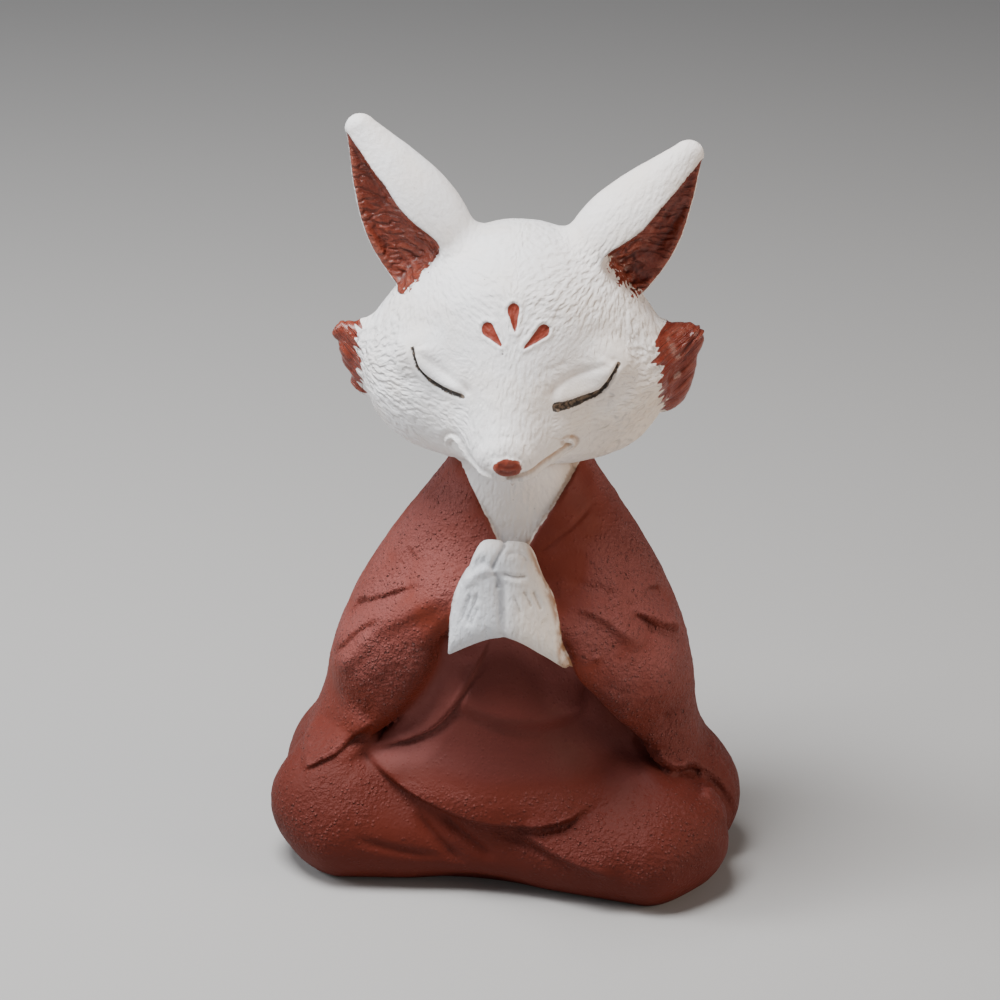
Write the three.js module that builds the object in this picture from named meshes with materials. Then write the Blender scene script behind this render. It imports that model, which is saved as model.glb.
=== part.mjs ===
// Seated fox figure with joined paws, fired clay, made in one piece.
// Millimetres, +Z up, facing -Y, origin at the middle of the footprint.
// The form is a distance field: rounded limbs and eggs that run into each other,
// with the folds of the robe laid over them. It is turned into a closed faceted solid at the end.

import * as THREE from 'three';
import { MarchingCubes } from 'three/addons/objects/MarchingCubes.js';
import { SimplifyModifier } from 'three/addons/modifiers/SimplifyModifier.js';
import { mergeVertices } from 'three/addons/utils/BufferGeometryUtils.js';

// Overall block that the form is measured in
const BLOCK_SIDE = 84;
const BLOCK_MIDDLE = new THREE.Vector3(0, 0, 38.5);
const CELLS = 152;
const TRIANGLES = 9300;

// Head
const HEAD_MIDDLE = [0, 0.3, 53.6];
const HEAD_HALF_WIDTH = 15.2;
const HEAD_FRONT = 10.6;
const HEAD_REAR = 11.8;
const HEAD_ABOVE = 13.0;
const HEAD_BELOW = 8.8;
const HEAD_TAPER = 0.019;
const HEAD_TAPER_FROM = 54;
const HEAD_TAPER_HEIGHT = 12;
const HEAD_TURN = THREE.MathUtils.degToRad(3);
const NOSE = [0, -17.1, 48.1];

// Ears: a leaf from root to tip, with a cup that faces sideways and turns forward lower down
const EAR_ROOT = [8.75, 1.0, 63.7];
const EAR_TIP = [15.9, 2.0, 75.1];
const EAR_RADIUS = [[-5, 3.5], [-2, 4.6], [1, 5.05], [4, 4.9], [9, 3.4], [12, 2.1], [13.5, 1.5],
  [15, 1.2]];
const EAR_OPENING = [[-2, 54], [1, 50], [4, 42], [9, 35], [12, 24], [13.4, 6]];
const EAR_OPENING_BY_SIDE = 2.5;
const EAR_CUP_FLOOR = [[7, 0.15], [12, 0.45], [14, 0.6]];
const EAR_DROP = 1.1;
const EAR_SPREAD = 0.3;

// Robe: half width, front and rear depth by height
const ROBE_TOP = 46;
const ROBE_ROUNDNESS = 2.2;
const ROBE_MIDDLE_X = [[0, 0.3], [12, 0.4], [30, 0.8], [46, 0.9]];
const ROBE_HALF_WIDTH = [[0, 18.9], [5, 20.9], [10, 21.2], [13, 20.2], [16, 19.2], [21, 18.4], [24, 17.6],
  [27, 16.5], [31, 14.5], [34.5, 12.4], [38.3, 9.8], [41.5, 7.6], [44, 6.1], [46, 5.1]];
const ROBE_FRONT = [[0, 10], [8, 10.5], [14, 11.5], [20, 12.4], [26, 12.4], [30, 11.4], [34, 9.8], [38, 8.4],
  [42, 7.2], [46, 6.2]];
const ROBE_REAR = [[0, 15.5], [6, 16], [12, 15], [20, 13.2], [28, 11.4], [34, 9.6], [38, 8.2], [42, 7.2],
  [46, 6.4]];
const CHEST_MIDDLE_X = 1.1;
const CHEST_HALF_WIDTH = [[34, 0.9], [37.4, 1.9], [39.6, 3.1], [41.6, 4.3], [44, 5.4], [50, 7.8]];
const CHEST_RECESS = 0.5;
const CHEST_BOTTOM = 29.2;

// Edges and folds of the cloth, as paths in the front view (x, z)
const SLEEVE_EDGE_LEFT = [[-3.4, 29.6], [-5.7, 26.6], [-6.4, 23.9], [-7.5, 21.4], [-9.6, 18.0], [-12.2, 14.7],
  [-15.0, 12.8], [-20, 11.4]];
const SLEEVE_EDGE_RIGHT = [[5.2, 29.6], [7.0, 27.0], [8.0, 24.0], [10.2, 21.2], [12.6, 18.0], [15.4, 14.8],
  [18.2, 12.4], [21.4, 10.8]];
const LINING_EDGE = [[-12.8, 12.8], [-9.0, 14.2], [-6.2, 16.5], [-4.4, 19.4], [-3.1, 22.3], [-2.0, 25.6]];
const BELLY_FOLD = [[-5.0, 19.9], [-1.7, 18.8], [1.3, 18.4], [4.3, 18.4], [8.8, 18.8]];
const LAP_HEM = [[-14.0, 13.4], [-10.4, 11.4], [-8.2, 10.0], [-5.7, 9.2], [-2.2, 8.3], [1.9, 7.6], [5.4, 7.8],
  [8.0, 8.9], [11.4, 10.9]];
const SHIN_CREASES = [
  { path: [[-7.0, 8.2], [-4.6, 6.5], [-3.4, 5.4], [-1.5, 5.0]], width: 1.0, depth: 0.7 },
  { path: [[-3.4, 8.6], [-1.1, 6.7], [0.8, 5.3]], width: 0.9, depth: 0.6 },
  { path: [[-12.5, 5.3], [-7.4, 4.6], [-2.2, 4.1]], width: 1.1, depth: 0.7 },
];
const SHIN_EDGE = [[2.9, 7.4], [5.0, 6.4], [7.4, 5.3], [10.1, 4.5], [13.6, 3.7]];
const KNEE_CREASES = [
  { path: [[-13.4, 12.4], [-15.4, 11.7], [-17.3, 11.2], [-19.6, 11.0]], width: 0.7, depth: 0.6 },
  { path: [[17.6, 12.3], [20.2, 11.3], [22.3, 9.3], [23.6, 6.8], [24.2, 3.6]], width: 0.7, depth: 0.6 },
];
const ARM_CREASES = [
  { path: [[-15.3, 26.6], [-10.7, 30.2], [-7.1, 32.0], [-2.6, 34.9]], width: 1.2, depth: 0.9 },
  { path: [[-16.8, 22.6], [-13.7, 26.3], [-10.2, 29.2]], width: 1.0, depth: 0.6 },
  { path: [[17.2, 24.0], [15.1, 27.6], [10.5, 30.0]], width: 1.0, depth: 0.5 },
  { path: [[9.3, 41.2], [6.5, 38.0], [3.2, 34.8]], width: 0.5, depth: 0.4 },
];

// Joined paws
const PAWS_MIDDLE_X = [[28, 0.95], [34, 0.5]];
const PAWS_HALF_WIDTH = [[24.0, 5.75], [27.2, 5.5], [30.6, 5.2], [32.5, 4.7], [34.1, 4.0], [37.7, 2.75], [39.4, 1.9]];
const PAWS_NOTCH_Z = 28.1;
const PAWS_NOTCH_SLOPE = 0.56;

// Measures between shapes. A shape is a function of a point that is negative inside it.

function smoothStep(low, high, value) {
  const t = Math.min(Math.max((value - low) / (high - low), 0), 1);
  return t * t * (3 - 2 * t);
}

// Two shapes joined with a fillet of about the given size.
function join(a, b, fillet) {
  const h = Math.min(Math.max(0.5 + 0.5 * (b - a) / fillet, 0), 1);
  return b + (a - b) * h - fillet * h * (1 - h);
}

// The second shape cut out of the first, with a rounded edge.
function cut(a, b, rounding) {
  return -join(-a, b, rounding);
}

function egg(x, y, z, middle, radii) {
  const px = (x - middle[0]) / radii[0];
  const py = (y - middle[1]) / radii[1];
  const pz = (z - middle[2]) / radii[2];
  const inner = Math.hypot(px, py, pz);
  const slope = Math.hypot(px / radii[0], py / radii[1], pz / radii[2]);
  return inner * (inner - 1) / Math.max(slope, 1e-9);
}

// A round limb that tapers from one end to the other.
function limb(x, y, z, from, to, fromRadius, toRadius) {
  const dx = to[0] - from[0];
  const dy = to[1] - from[1];
  const dz = to[2] - from[2];
  const px = x - from[0];
  const py = y - from[1];
  const pz = z - from[2];
  const along = (px * dx + py * dy + pz * dz) / (dx * dx + dy * dy + dz * dz);
  const t = Math.min(Math.max(along, 0), 1);
  return Math.hypot(px - t * dx, py - t * dy, pz - t * dz) - (fromRadius + (toRadius - fromRadius) * t);
}

// A smooth curve through knots of (position, value), level beyond its ends.
function profile(knots) {
  const at = knots.map((knot) => knot[0]);
  const value = knots.map((knot) => knot[1]);
  const last = knots.length - 1;
  const slope = value.map((middle, i) => {
    if (i === 0 || i === last) return 0;
    const before = at[i] - at[i - 1];
    const after = at[i + 1] - at[i];
    const rise = before * before * value[i + 1] + (after * after - before * before) * middle
      - after * after * value[i - 1];
    return rise / (before * after * (before + after));
  });
  return (position) => {
    if (position <= at[0]) return value[0];
    if (position >= at[last]) return value[last];
    let i = 0;
    while (position > at[i + 1]) i += 1;
    const h = at[i + 1] - at[i];
    const t = (position - at[i]) / h;
    const s = 1 - t;
    return value[i] * (1 + 2 * t) * s * s + slope[i] * h * t * s * s
      + value[i + 1] * t * t * (3 - 2 * t) + slope[i + 1] * h * t * t * (t - 1);
  };
}

// A path in the front view. It returns the distance from the path, positive on the path's left,
// and how far along it the nearest point lies, from 0 to 1.
const STEPS_PER_SPAN = 5;
function stroke(points) {
  const curve = new THREE.SplineCurve(points.map(([x, z]) => new THREE.Vector2(x, z)));
  const steps = STEPS_PER_SPAN * (points.length - 1);
  const line = curve.getPoints(steps);
  return (x, z) => {
    let nearest = Infinity;
    let side = 0;
    let along = 0;
    for (let i = 0; i < steps; i += 1) {
      const a = line[i];
      const b = line[i + 1];
      const dx = b.x - a.x;
      const dz = b.y - a.y;
      const share = ((x - a.x) * dx + (z - a.y) * dz) / (dx * dx + dz * dz);
      const t = Math.min(Math.max(share, 0), 1);
      const ex = x - a.x - t * dx;
      const ez = z - a.y - t * dz;
      const squared = ex * ex + ez * ez;
      if (squared < nearest) {
        nearest = squared;
        side = Math.sign(dx * ez - dz * ex);
        along = (i + t) / steps;
      }
    }
    return { distance: Math.sqrt(nearest) * side, along };
  };
}

const FADE_SHARE = 0.2;
function fadeEnds(along) {
  return smoothStep(0, FADE_SHARE, along) * smoothStep(0, FADE_SHARE, 1 - along);
}

// A crease pressed in along a path.
function crease({ path, width, depth }) {
  const measure = stroke(path);
  return (x, z) => {
    const { distance, along } = measure(x, z);
    return -depth * Math.exp(-((distance / width) ** 2)) * fadeEnds(along);
  };
}

// Cloth that stands up to the path's left and sinks back further away.
function edge({ path, step, height, reach }) {
  const measure = stroke(path);
  return (x, z) => {
    const { distance, along } = measure(x, z);
    const falling = Math.exp(-((Math.max(distance, 0) / reach) ** 2));
    return height * smoothStep(-step, step, distance) * falling * fadeEnds(along);
  };
}

// Head

function turnedHead(x, y) {
  const c = Math.cos(HEAD_TURN);
  const s = Math.sin(HEAD_TURN);
  return [c * x + s * y, -s * x + c * y];
}

const TUFT_ROOT = [9.6, 0.3, 53.0];
const TUFT_FLATNESS = 1.25;
const TUFT_TIPS = [
  { end: [16.9, 0.6, 55.0], rootRadius: 4.6, radius: 1.4 },
  { end: [16.1, 0.6, 52.5], rootRadius: 4.4, radius: 1.4 },
  { end: [15.1, 0.6, 50.3], rootRadius: 4.4, radius: 1.3 },
  { end: [13.6, 0.6, 49.2], rootRadius: 4.2, radius: 1.0 },
];
const TUFT_TILT = 0.02;
function cheekTuft(x, y, z) {
  const side = Math.abs(x);
  const flat = TUFT_ROOT[1] + (y - TUFT_ROOT[1]) * TUFT_FLATNESS;
  const height = z - x * TUFT_TILT;
  const locks = TUFT_TIPS.map(({ end, rootRadius, radius }) => limb(side, flat, height, TUFT_ROOT, end,
    rootRadius, radius));
  return locks.reduce((tuft, lock) => join(tuft, lock, 1.2)) * 0.85;
}

function head(x, y, z) {
  const side = Math.abs(x);
  const depth = y < HEAD_MIDDLE[1] ? HEAD_FRONT : HEAD_REAR;
  const height = z > HEAD_MIDDLE[2] ? HEAD_ABOVE : HEAD_BELOW;
  const above = Math.min(Math.max(z - HEAD_TAPER_FROM, 0), HEAD_TAPER_HEIGHT);
  const skullX = x / (1 - HEAD_TAPER * above);
  let form = egg(skullX, y, z, HEAD_MIDDLE, [HEAD_HALF_WIDTH, depth, height]);
  form = join(form, egg(side, y, z, [6.0, -2.4, 50.2], [7.8, 7.2, 6.0]), 3.5);
  form = join(form, limb(x, y, z, [0, -5, 56.6], [0, -15.4, 49], 6.8, 2.1), 4.5);
  form = join(form, limb(side, y, z, [3.4, -6.6, 49.6], [0.9, -14.8, 48], 4.6, 1.9), 2.5);
  form = join(form, limb(side, y, z, [1.5, -6, 47], [0.4, -13.8, 46.9], 3.2, 1.2), 0.8);
  form = join(form, egg(side, y, z, [7.0, -6.9, 55.2], [4.4, 2.6, 2.7]), 1.2);
  form = join(form, egg(x, y, z, NOSE, [1.4, 0.8, 0.85]), 0.5);
  return join(form, cheekTuft(x, y, z), 1.2);
}

// Ears

const earAxis = new THREE.Vector3(...EAR_TIP).sub(new THREE.Vector3(...EAR_ROOT));
const EAR_LENGTH = earAxis.length();
earAxis.normalize();
const earOutward = new THREE.Vector3(1, 0, 0).addScaledVector(earAxis, -earAxis.x).normalize();
const earForward = new THREE.Vector3().crossVectors(earOutward, earAxis);
const earRadius = profile(EAR_RADIUS);
const earOpening = profile(EAR_OPENING);
const earCupFloor = profile(EAR_CUP_FLOOR);
const EAR_THINNESS = 1.1;

function ear(x, y, z) {
  const lowered = x > 0 ? EAR_DROP * smoothStep(62, 76, z) : 0;
  const spread = x < 0 ? EAR_SPREAD : 0;
  const px = Math.abs(x) - spread - EAR_ROOT[0];
  const py = y - EAR_ROOT[1];
  const pz = z + lowered - EAR_ROOT[2];
  const forward = px * earForward.x + py * earForward.y + pz * earForward.z;
  const outward = px * earOutward.x + py * earOutward.y + pz * earOutward.z;
  const along = px * earAxis.x + py * earAxis.y + pz * earAxis.z;
  const radius = earRadius(along);
  const leafCore = Math.min(Math.max(along, -2.5), EAR_LENGTH);
  const leaf = (Math.hypot(forward * EAR_THINNESS, outward, along - leafCore) - radius) * 0.85;
  // The cup is a round hollow whose rims lie at the opening's half angle either side of its facing,
  // and it faces as far forward as that angle, so the rear rim is the ear's outer edge.
  const angle = THREE.MathUtils.degToRad(earOpening(along) - EAR_OPENING_BY_SIDE * Math.sign(x));
  const across = Math.cos(angle) * forward - Math.sin(angle) * outward;
  const out = Math.cos(angle) * outward + Math.sin(angle) * forward;
  const rim = Math.cos(angle);
  const floor = earCupFloor(along);
  const cupRadius = radius * (1 + floor ** 2 - 2 * floor * rim) / (2 * (rim - floor));
  const cupOffset = cupRadius + floor * radius;
  const cupCore = Math.min(Math.max(along, 1.0), EAR_LENGTH - 0.3);
  const cup = (Math.hypot(across, out - cupOffset, along - cupCore) - cupRadius) * 0.82;
  return cut(leaf, cup, 0.35);
}

// Robe

const robeMiddleX = profile(ROBE_MIDDLE_X);
const robeHalfWidth = profile(ROBE_HALF_WIDTH);
const robeFront = profile(ROBE_FRONT);
const robeRear = profile(ROBE_REAR);
const chestHalfWidth = profile(CHEST_HALF_WIDTH);
const sleeveLeft = stroke(SLEEVE_EDGE_LEFT);
const sleeveRight = stroke(SLEEVE_EDGE_RIGHT);

function robeOutside(x, y, z) {
  const halfWidth = robeHalfWidth(z);
  const depth = y < 0 ? robeFront(z) : robeRear(z);
  const wide = Math.abs((x - robeMiddleX(z)) / halfWidth) ** ROBE_ROUNDNESS;
  const deep = Math.abs(y / depth) ** ROBE_ROUNDNESS;
  const share = (wide + deep) ** (1 / ROBE_ROUNDNESS);
  const side = (share - 1) * Math.min(halfWidth, depth) * 0.8;
  return cut(side, ROBE_TOP - z, 1.5);
}

const upperFolds = ARM_CREASES.map(crease);
function upperRelief(x, y, z) {
  const front = smoothStep(-1, -4, y);
  if (front === 0) return 0;
  return front * upperFolds.reduce((sum, fold) => sum + fold(x, z), 0);
}

const lowerFolds = [
  edge({ path: LINING_EDGE, step: 0.35, height: 0.9, reach: 4.0 }),
  edge({ path: BELLY_FOLD, step: 1.4, height: 0.8, reach: 3.0 }),
  edge({ path: LAP_HEM, step: 0.7, height: 1.1, reach: 4.0 }),
  edge({ path: SHIN_EDGE, step: 0.6, height: 0.8, reach: 2.5 }),
  ...SHIN_CREASES.map(crease),
];
function lowerRelief(x, y, z) {
  const front = smoothStep(-4.5, -7.5, y);
  if (front === 0) return 0;
  return front * lowerFolds.reduce((sum, fold) => sum + fold(x, z), 0);
}

function shoulders(x, y, z) {
  let cloth = robeOutside(x, y, z);
  cloth = join(cloth, limb(x, y, z, [-12.2, -5.4, 22.0], [-4.5, -8.0, 29.8], 3.9, 4.2), 2.5);
  cloth = join(cloth, limb(x, y, z, [12.6, -5.6, 22.0], [5.2, -8.3, 27.6], 4.2, 4.0), 2.5);
  cloth -= upperRelief(x, y, z);
  const chest = Math.max(cloth + CHEST_RECESS, CHEST_BOTTOM - z);
  // The front is open below the sleeves' edges and in a V at the chest.
  const below = Math.max(-sleeveLeft(x, z).distance, sleeveRight(x, z).distance, y + 4, z - 29.4);
  cloth = cut(cloth, below, 0.5);
  const collar = (Math.abs(x - CHEST_MIDDLE_X) - chestHalfWidth(z)) * 0.9;
  cloth = cut(cloth, Math.max(collar, y), 0.4);
  return Math.min(cloth, chest);
}

function lapAndLegs(x, y, z) {
  const side = Math.abs(x);
  const belly = limb(x, y, z, [0, -1.5, 10], [0, -1.2, 32], 11.0, 7.2);
  const lap = limb(side, y, z, [0, -3.6, 7.6], [13, -5, 6.5], 8.0, 6.4);
  const hipLeft = limb(x, y, z, [-8, 3, 6], [-15.6, 2, 6], 8.0, 6.8);
  const hipRight = limb(x, y, z, [8, 3, 6], [17.7, 2.2, 5.6], 8.0, 6.9);
  const thighLeft = limb(x, y, z, [-9, 1, 6.2], [-16.5, -6.8, 6.3], 7.5, 6.4);
  const thighRight = limb(x, y, z, [9, 1, 6.2], [17.6, -6.4, 5.5], 7.5, 6.4);
  const shinLeft = limb(x, y, z, [-15, -9.4, 4.8], [4, -8.4, 4], 5.2, 3.8);
  const shinRight = limb(x, y, z, [15.8, -9.8, 4.7], [-3, -8.8, 4], 5.4, 3.6);
  let legs = Math.min(join(hipLeft, thighLeft, 2.5), join(hipRight, thighRight, 0.8));
  legs = join(legs, lap, 3.0);
  legs = join(legs, join(shinLeft, shinRight, 1.0), 1.5);
  return join(belly, legs, 3.0) - lowerRelief(x, y, z);
}

const kneeFolds = KNEE_CREASES.map(crease);
function robe(x, y, z) {
  const cloth = join(shoulders(x, y, z), lapAndLegs(x, y, z), 1.0);
  const front = smoothStep(-2, -5, y);
  return front === 0 ? cloth : cloth - front * kneeFolds.reduce((sum, fold) => sum + fold(x, z), 0);
}

// Paws: two flattened lobes side by side, trimmed to their outline, with a groove between them

const pawsMiddleX = profile(PAWS_MIDDLE_X);
const pawsHalfWidth = profile(PAWS_HALF_WIDTH);
const PAW_DEPTH_SCALE = 1.5;
function paws(x, y, z) {
  const px = x - pawsMiddleX(z);
  const side = Math.abs(px);
  const lobe = limb(side, y * PAW_DEPTH_SCALE, z, [2.0, -16.6, 26.0], [1.1, -15.7, 35.6], 4.6, 2.0) * 0.75;
  const outside = (side - pawsHalfWidth(z)) * 0.93;
  const under = (PAWS_NOTCH_Z - PAWS_NOTCH_SLOPE * side - z) * 0.87;
  let form = cut(lobe, -outside, 0.5);
  form = cut(form, -under, 0.3);
  return form + 0.45 * Math.exp(-((px / 0.55) ** 2)) * smoothStep(37, 35, z);
}

function neck(x, y, z) {
  return limb(x, y, z, [0, -1.5, 34], [0, -1, 50], 6.4, 5.8);
}

// The whole figure, cut level at the base

function figure(x, y, z) {
  const [hx, hy] = turnedHead(x, y);
  let form = Infinity;
  if (z > 38) form = join(head(hx, hy, z), ear(hx, hy, z), 1.6 - 1.2 * smoothStep(8, 12, Math.abs(hx)));
  if (z < 54) {
    const body = join(join(robe(x, y, z), neck(x, y, z), 0.4), paws(x, y, z), 0.3);
    form = form === Infinity ? body : join(form, body, 0.5);
  }
  if (z < 4) form = cut(form, egg(x, y, z, [-1.2, -15, -0.6], [7.5, 5, 2.6]), 1.5);
  return Math.max(form, -z);
}

// Faceted solid

// The field is sampled on a grid. Far from the surface only its sign matters.
function gridSurface() {
  const grid = new MarchingCubes(CELLS, new THREE.MeshBasicMaterial(), false, false, 200000);
  const pitch = BLOCK_SIDE / CELLS;
  const start = BLOCK_MIDDLE.clone().subScalar(BLOCK_SIDE / 2);
  grid.isolation = 0;
  for (let k = 0; k < CELLS; k += 1) {
    for (let j = 0; j < CELLS; j += 1) {
      for (let i = 0; i < CELLS; i += 1) {
        const value = figure(start.x + i * pitch, start.y + j * pitch, start.z + k * pitch);
        grid.setCell(i, j, k, -value);
      }
    }
  }
  grid.update();
  const corners = grid.count;
  const positions = new Float32Array(corners * 3);
  for (let n = 0; n < corners * 3; n += 1) {
    positions[n] = (grid.positionArray[n] + 1) * CELLS / 2;
  }
  const surface = new THREE.BufferGeometry();
  surface.setAttribute('position', new THREE.BufferAttribute(positions, 3));
  const merged = mergeVertices(surface, 1e-3);
  merged.scale(pitch, pitch, pitch);
  merged.translate(start.x, start.y, start.z);
  return merged;
}

// Triangles that the merging closed to a line or a point are left out.
function withoutSlivers(geometry) {
  const index = geometry.getIndex().array;
  const kept = [];
  for (let n = 0; n < index.length; n += 3) {
    const [a, b, c] = [index[n], index[n + 1], index[n + 2]];
    if (a !== b && b !== c && c !== a) kept.push(a, b, c);
  }
  geometry.setIndex(kept);
  return geometry;
}

async function facetedFigure() {
  const fine = withoutSlivers(gridSurface());
  const spare = 1 - TRIANGLES / (fine.getIndex().count / 3);
  const facets = await new SimplifyModifier().modify(fine, Math.round(spare * fine.getAttribute('position').count));
  // The footprint's middle becomes the origin.
  facets.computeBoundingBox();
  const { min, max } = facets.boundingBox;
  facets.translate(-(min.x + max.x) / 2, -(min.y + max.y) / 2, -min.z);
  facets.computeVertexNormals();
  return facets;
}

const clay = new THREE.MeshStandardMaterial({ color: 0x7a3a30, roughness: 0.85, metalness: 0 });
const model = new THREE.Group();
const foxFigure = new THREE.Mesh(await facetedFigure(), clay);
foxFigure.name = 'fox_figure';
model.add(foxFigure);

export default model;
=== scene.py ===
import math

import bpy
import numpy as np
from mathutils import Matrix, Vector


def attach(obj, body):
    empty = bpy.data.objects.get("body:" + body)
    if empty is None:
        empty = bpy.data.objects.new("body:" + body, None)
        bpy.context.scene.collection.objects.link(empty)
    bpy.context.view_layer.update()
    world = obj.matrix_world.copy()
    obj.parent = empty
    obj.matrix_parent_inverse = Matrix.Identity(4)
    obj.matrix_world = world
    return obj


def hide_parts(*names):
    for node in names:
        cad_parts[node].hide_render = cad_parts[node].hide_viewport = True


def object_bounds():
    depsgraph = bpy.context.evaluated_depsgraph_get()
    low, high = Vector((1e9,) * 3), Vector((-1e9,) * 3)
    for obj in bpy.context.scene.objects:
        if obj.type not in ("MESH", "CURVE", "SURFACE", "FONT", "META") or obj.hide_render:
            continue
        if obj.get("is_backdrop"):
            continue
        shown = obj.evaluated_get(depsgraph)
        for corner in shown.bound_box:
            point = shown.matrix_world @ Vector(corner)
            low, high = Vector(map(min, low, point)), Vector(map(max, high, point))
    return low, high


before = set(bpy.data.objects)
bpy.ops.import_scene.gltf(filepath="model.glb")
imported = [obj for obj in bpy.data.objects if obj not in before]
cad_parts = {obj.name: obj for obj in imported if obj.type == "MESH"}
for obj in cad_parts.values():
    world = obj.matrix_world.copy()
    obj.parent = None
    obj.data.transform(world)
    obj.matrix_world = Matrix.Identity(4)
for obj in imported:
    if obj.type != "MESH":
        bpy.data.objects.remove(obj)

# A small seated fox in fired clay with joined paws: its fine surface, its paint and a studio view.
# Forms are worked out in millimetres, +Z up, the figure facing -Y. A form is a function of a point
# that is negative inside it, and the forms run into each other as in the solid.
# An egg is given by its middle and radii, and a limb by its two ends and the radius at each.

MILLIMETRE = 0.001
FAR = 1000.0
MARGIN = 5.0
SOLID_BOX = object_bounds()

# Head
HEAD_MIDDLE = (0, 0.3, 53.6)
HEAD_HALF_WIDTH = 15.2
HEAD_FRONT = 10.6
HEAD_REAR = 11.8
HEAD_ABOVE = 13.0
HEAD_BELOW = 8.8
HEAD_TAPER = 0.019
HEAD_TURN = math.radians(3)
CHEEK = ((6.0, -2.4, 50.2), (7.8, 7.2, 6.0))
MUZZLE = ((0, -5, 56.6), (0, -15.4, 49), 6.8, 2.1)
UPPER_LIP = ((3.4, -6.6, 49.6), (0.9, -14.8, 48), 4.6, 1.9)
CHIN = ((1.5, -6, 47), (0.4, -13.8, 46.9), 3.2, 1.2)
EYEBALL = ((7.0, -6.9, 55.2), (4.4, 2.6, 2.7))
NOSE = ((0, -17.1, 48.1), (1.4, 0.8, 0.85))
NECK = ((0, -1.5, 34), (0, -1, 50), 6.4, 5.8)

# Cheek tufts: locks from one root, each with its end (x, z), the radius there and at the root
TUFT_ROOT = (9.6, 0.3, 53.0)
TUFT_END_Y = 0.6
TUFT_FLATNESS = 1.25
TUFT_TILT = 0.02
TUFT_LOCKS_LEFT = (
    (17.4, 55.0, 0.9, 4.6), (16.2, 52.7, 1.2, 4.4), (15.3, 50.7, 1.1, 4.3),
    (14.8, 49.5, 0.9, 4.2), (13.4, 48.9, 0.9, 4.2),
)
TUFT_LOCKS_RIGHT = (
    (16.7, 55.2, 1.5, 4.6), (16.2, 52.7, 1.35, 4.4), (15.6, 50.7, 1.35, 4.3),
    (14.9, 49.4, 1.25, 4.2), (13.7, 48.9, 1.1, 4.2),
)

# Ears: a leaf from root to tip with a cup that faces sideways and turns forward lower down
EAR_ROOT = np.array((8.75, 1.0, 63.7))
EAR_TIP = np.array((15.9, 2.0, 75.1))
EAR_RADIUS = ((-5, 3.5), (-2, 4.6), (1, 5.05), (4, 4.9), (9, 3.4), (12, 2.1), (13.5, 1.5), (15, 1.2))
EAR_OPENING = ((-2, 54), (1, 50), (4, 42), (9, 35), (12, 25), (13.4, 12), (14.1, 4))
EAR_OPENING_BY_SIDE = 2.5
EAR_CUP_FLOOR = ((7, 0.15), (12, 0.45), (14, 0.6))
EAR_DROP = 1.1
EAR_SPREAD = 0.3
EAR_THINNESS = 1.1

# Robe: middle, half width, front and rear depth by height
ROBE_TOP = 46
ROBE_ROUNDNESS = 2.2
ROBE_MIDDLE_X = ((0, 0.3), (12, 0.4), (30, 0.8), (46, 0.9))
ROBE_HALF_WIDTH = (
    (0, 18.9), (5, 20.9), (10, 21.2), (13, 20.2), (16, 19.2), (21, 18.4), (24, 17.6),
    (27, 16.5), (31, 14.5), (34.5, 12.4), (38.3, 9.8), (41.5, 7.6), (44, 6.1), (46, 5.1),
)
ROBE_FRONT = (
    (0, 10), (8, 10.5), (14, 11.5), (20, 12.4), (26, 12.4), (30, 11.4), (34, 9.8), (38, 8.4),
    (42, 7.2), (46, 6.2),
)
ROBE_REAR = (
    (0, 15.5), (6, 16), (12, 15), (20, 13.2), (28, 11.4), (34, 9.6), (38, 8.2), (42, 7.2), (46, 6.4),
)
CHEST_MIDDLE_X = 1.1
CHEST_HALF_WIDTH = ((34, 0.9), (37.4, 1.9), (39.5, 3.2), (41.4, 4.4), (43.2, 5.5), (50, 8.6))
CHEST_RECESS = 0.5
CHEST_BOTTOM = 29.2
SLEEVE_ROLL = 1.8
RECESS_FILLET = 2.5
SLEEVE_END_FILLET = 1.2

# Limbs under the robe
FOREARM_LEFT = ((-12.2, -5.4, 22.0), (-4.5, -8.0, 29.8), 3.9, 4.2)
FOREARM_RIGHT = ((12.6, -5.6, 22.0), (5.2, -8.3, 27.6), 4.2, 4.0)
BELLY = ((0, -1.5, 10), (0, -1.2, 32), 11.0, 7.2)
LAP = ((0, -3.6, 7.6), (13, -5, 6.5), 8.0, 6.4)
HIP_LEFT = ((-8, 3, 6), (-15.6, 2, 6), 8.0, 6.8)
HIP_RIGHT = ((8, 3, 6), (17.7, 2.2, 5.6), 8.0, 6.9)
THIGH_LEFT = ((-9, 1, 6.2), (-16.5, -6.8, 6.3), 7.5, 6.4)
THIGH_RIGHT = ((9, 1, 6.2), (17.6, -6.4, 5.5), 7.5, 6.4)
SHIN_LEFT = ((-15, -9.4, 4.8), (4, -8.4, 4), 5.2, 3.8)
SHIN_RIGHT = ((15.8, -9.8, 4.7), (-3, -8.8, 4), 5.4, 3.6)
BASE_ARCH = ((-1.2, -15, -0.6), (7.5, 5, 2.6))

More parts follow.
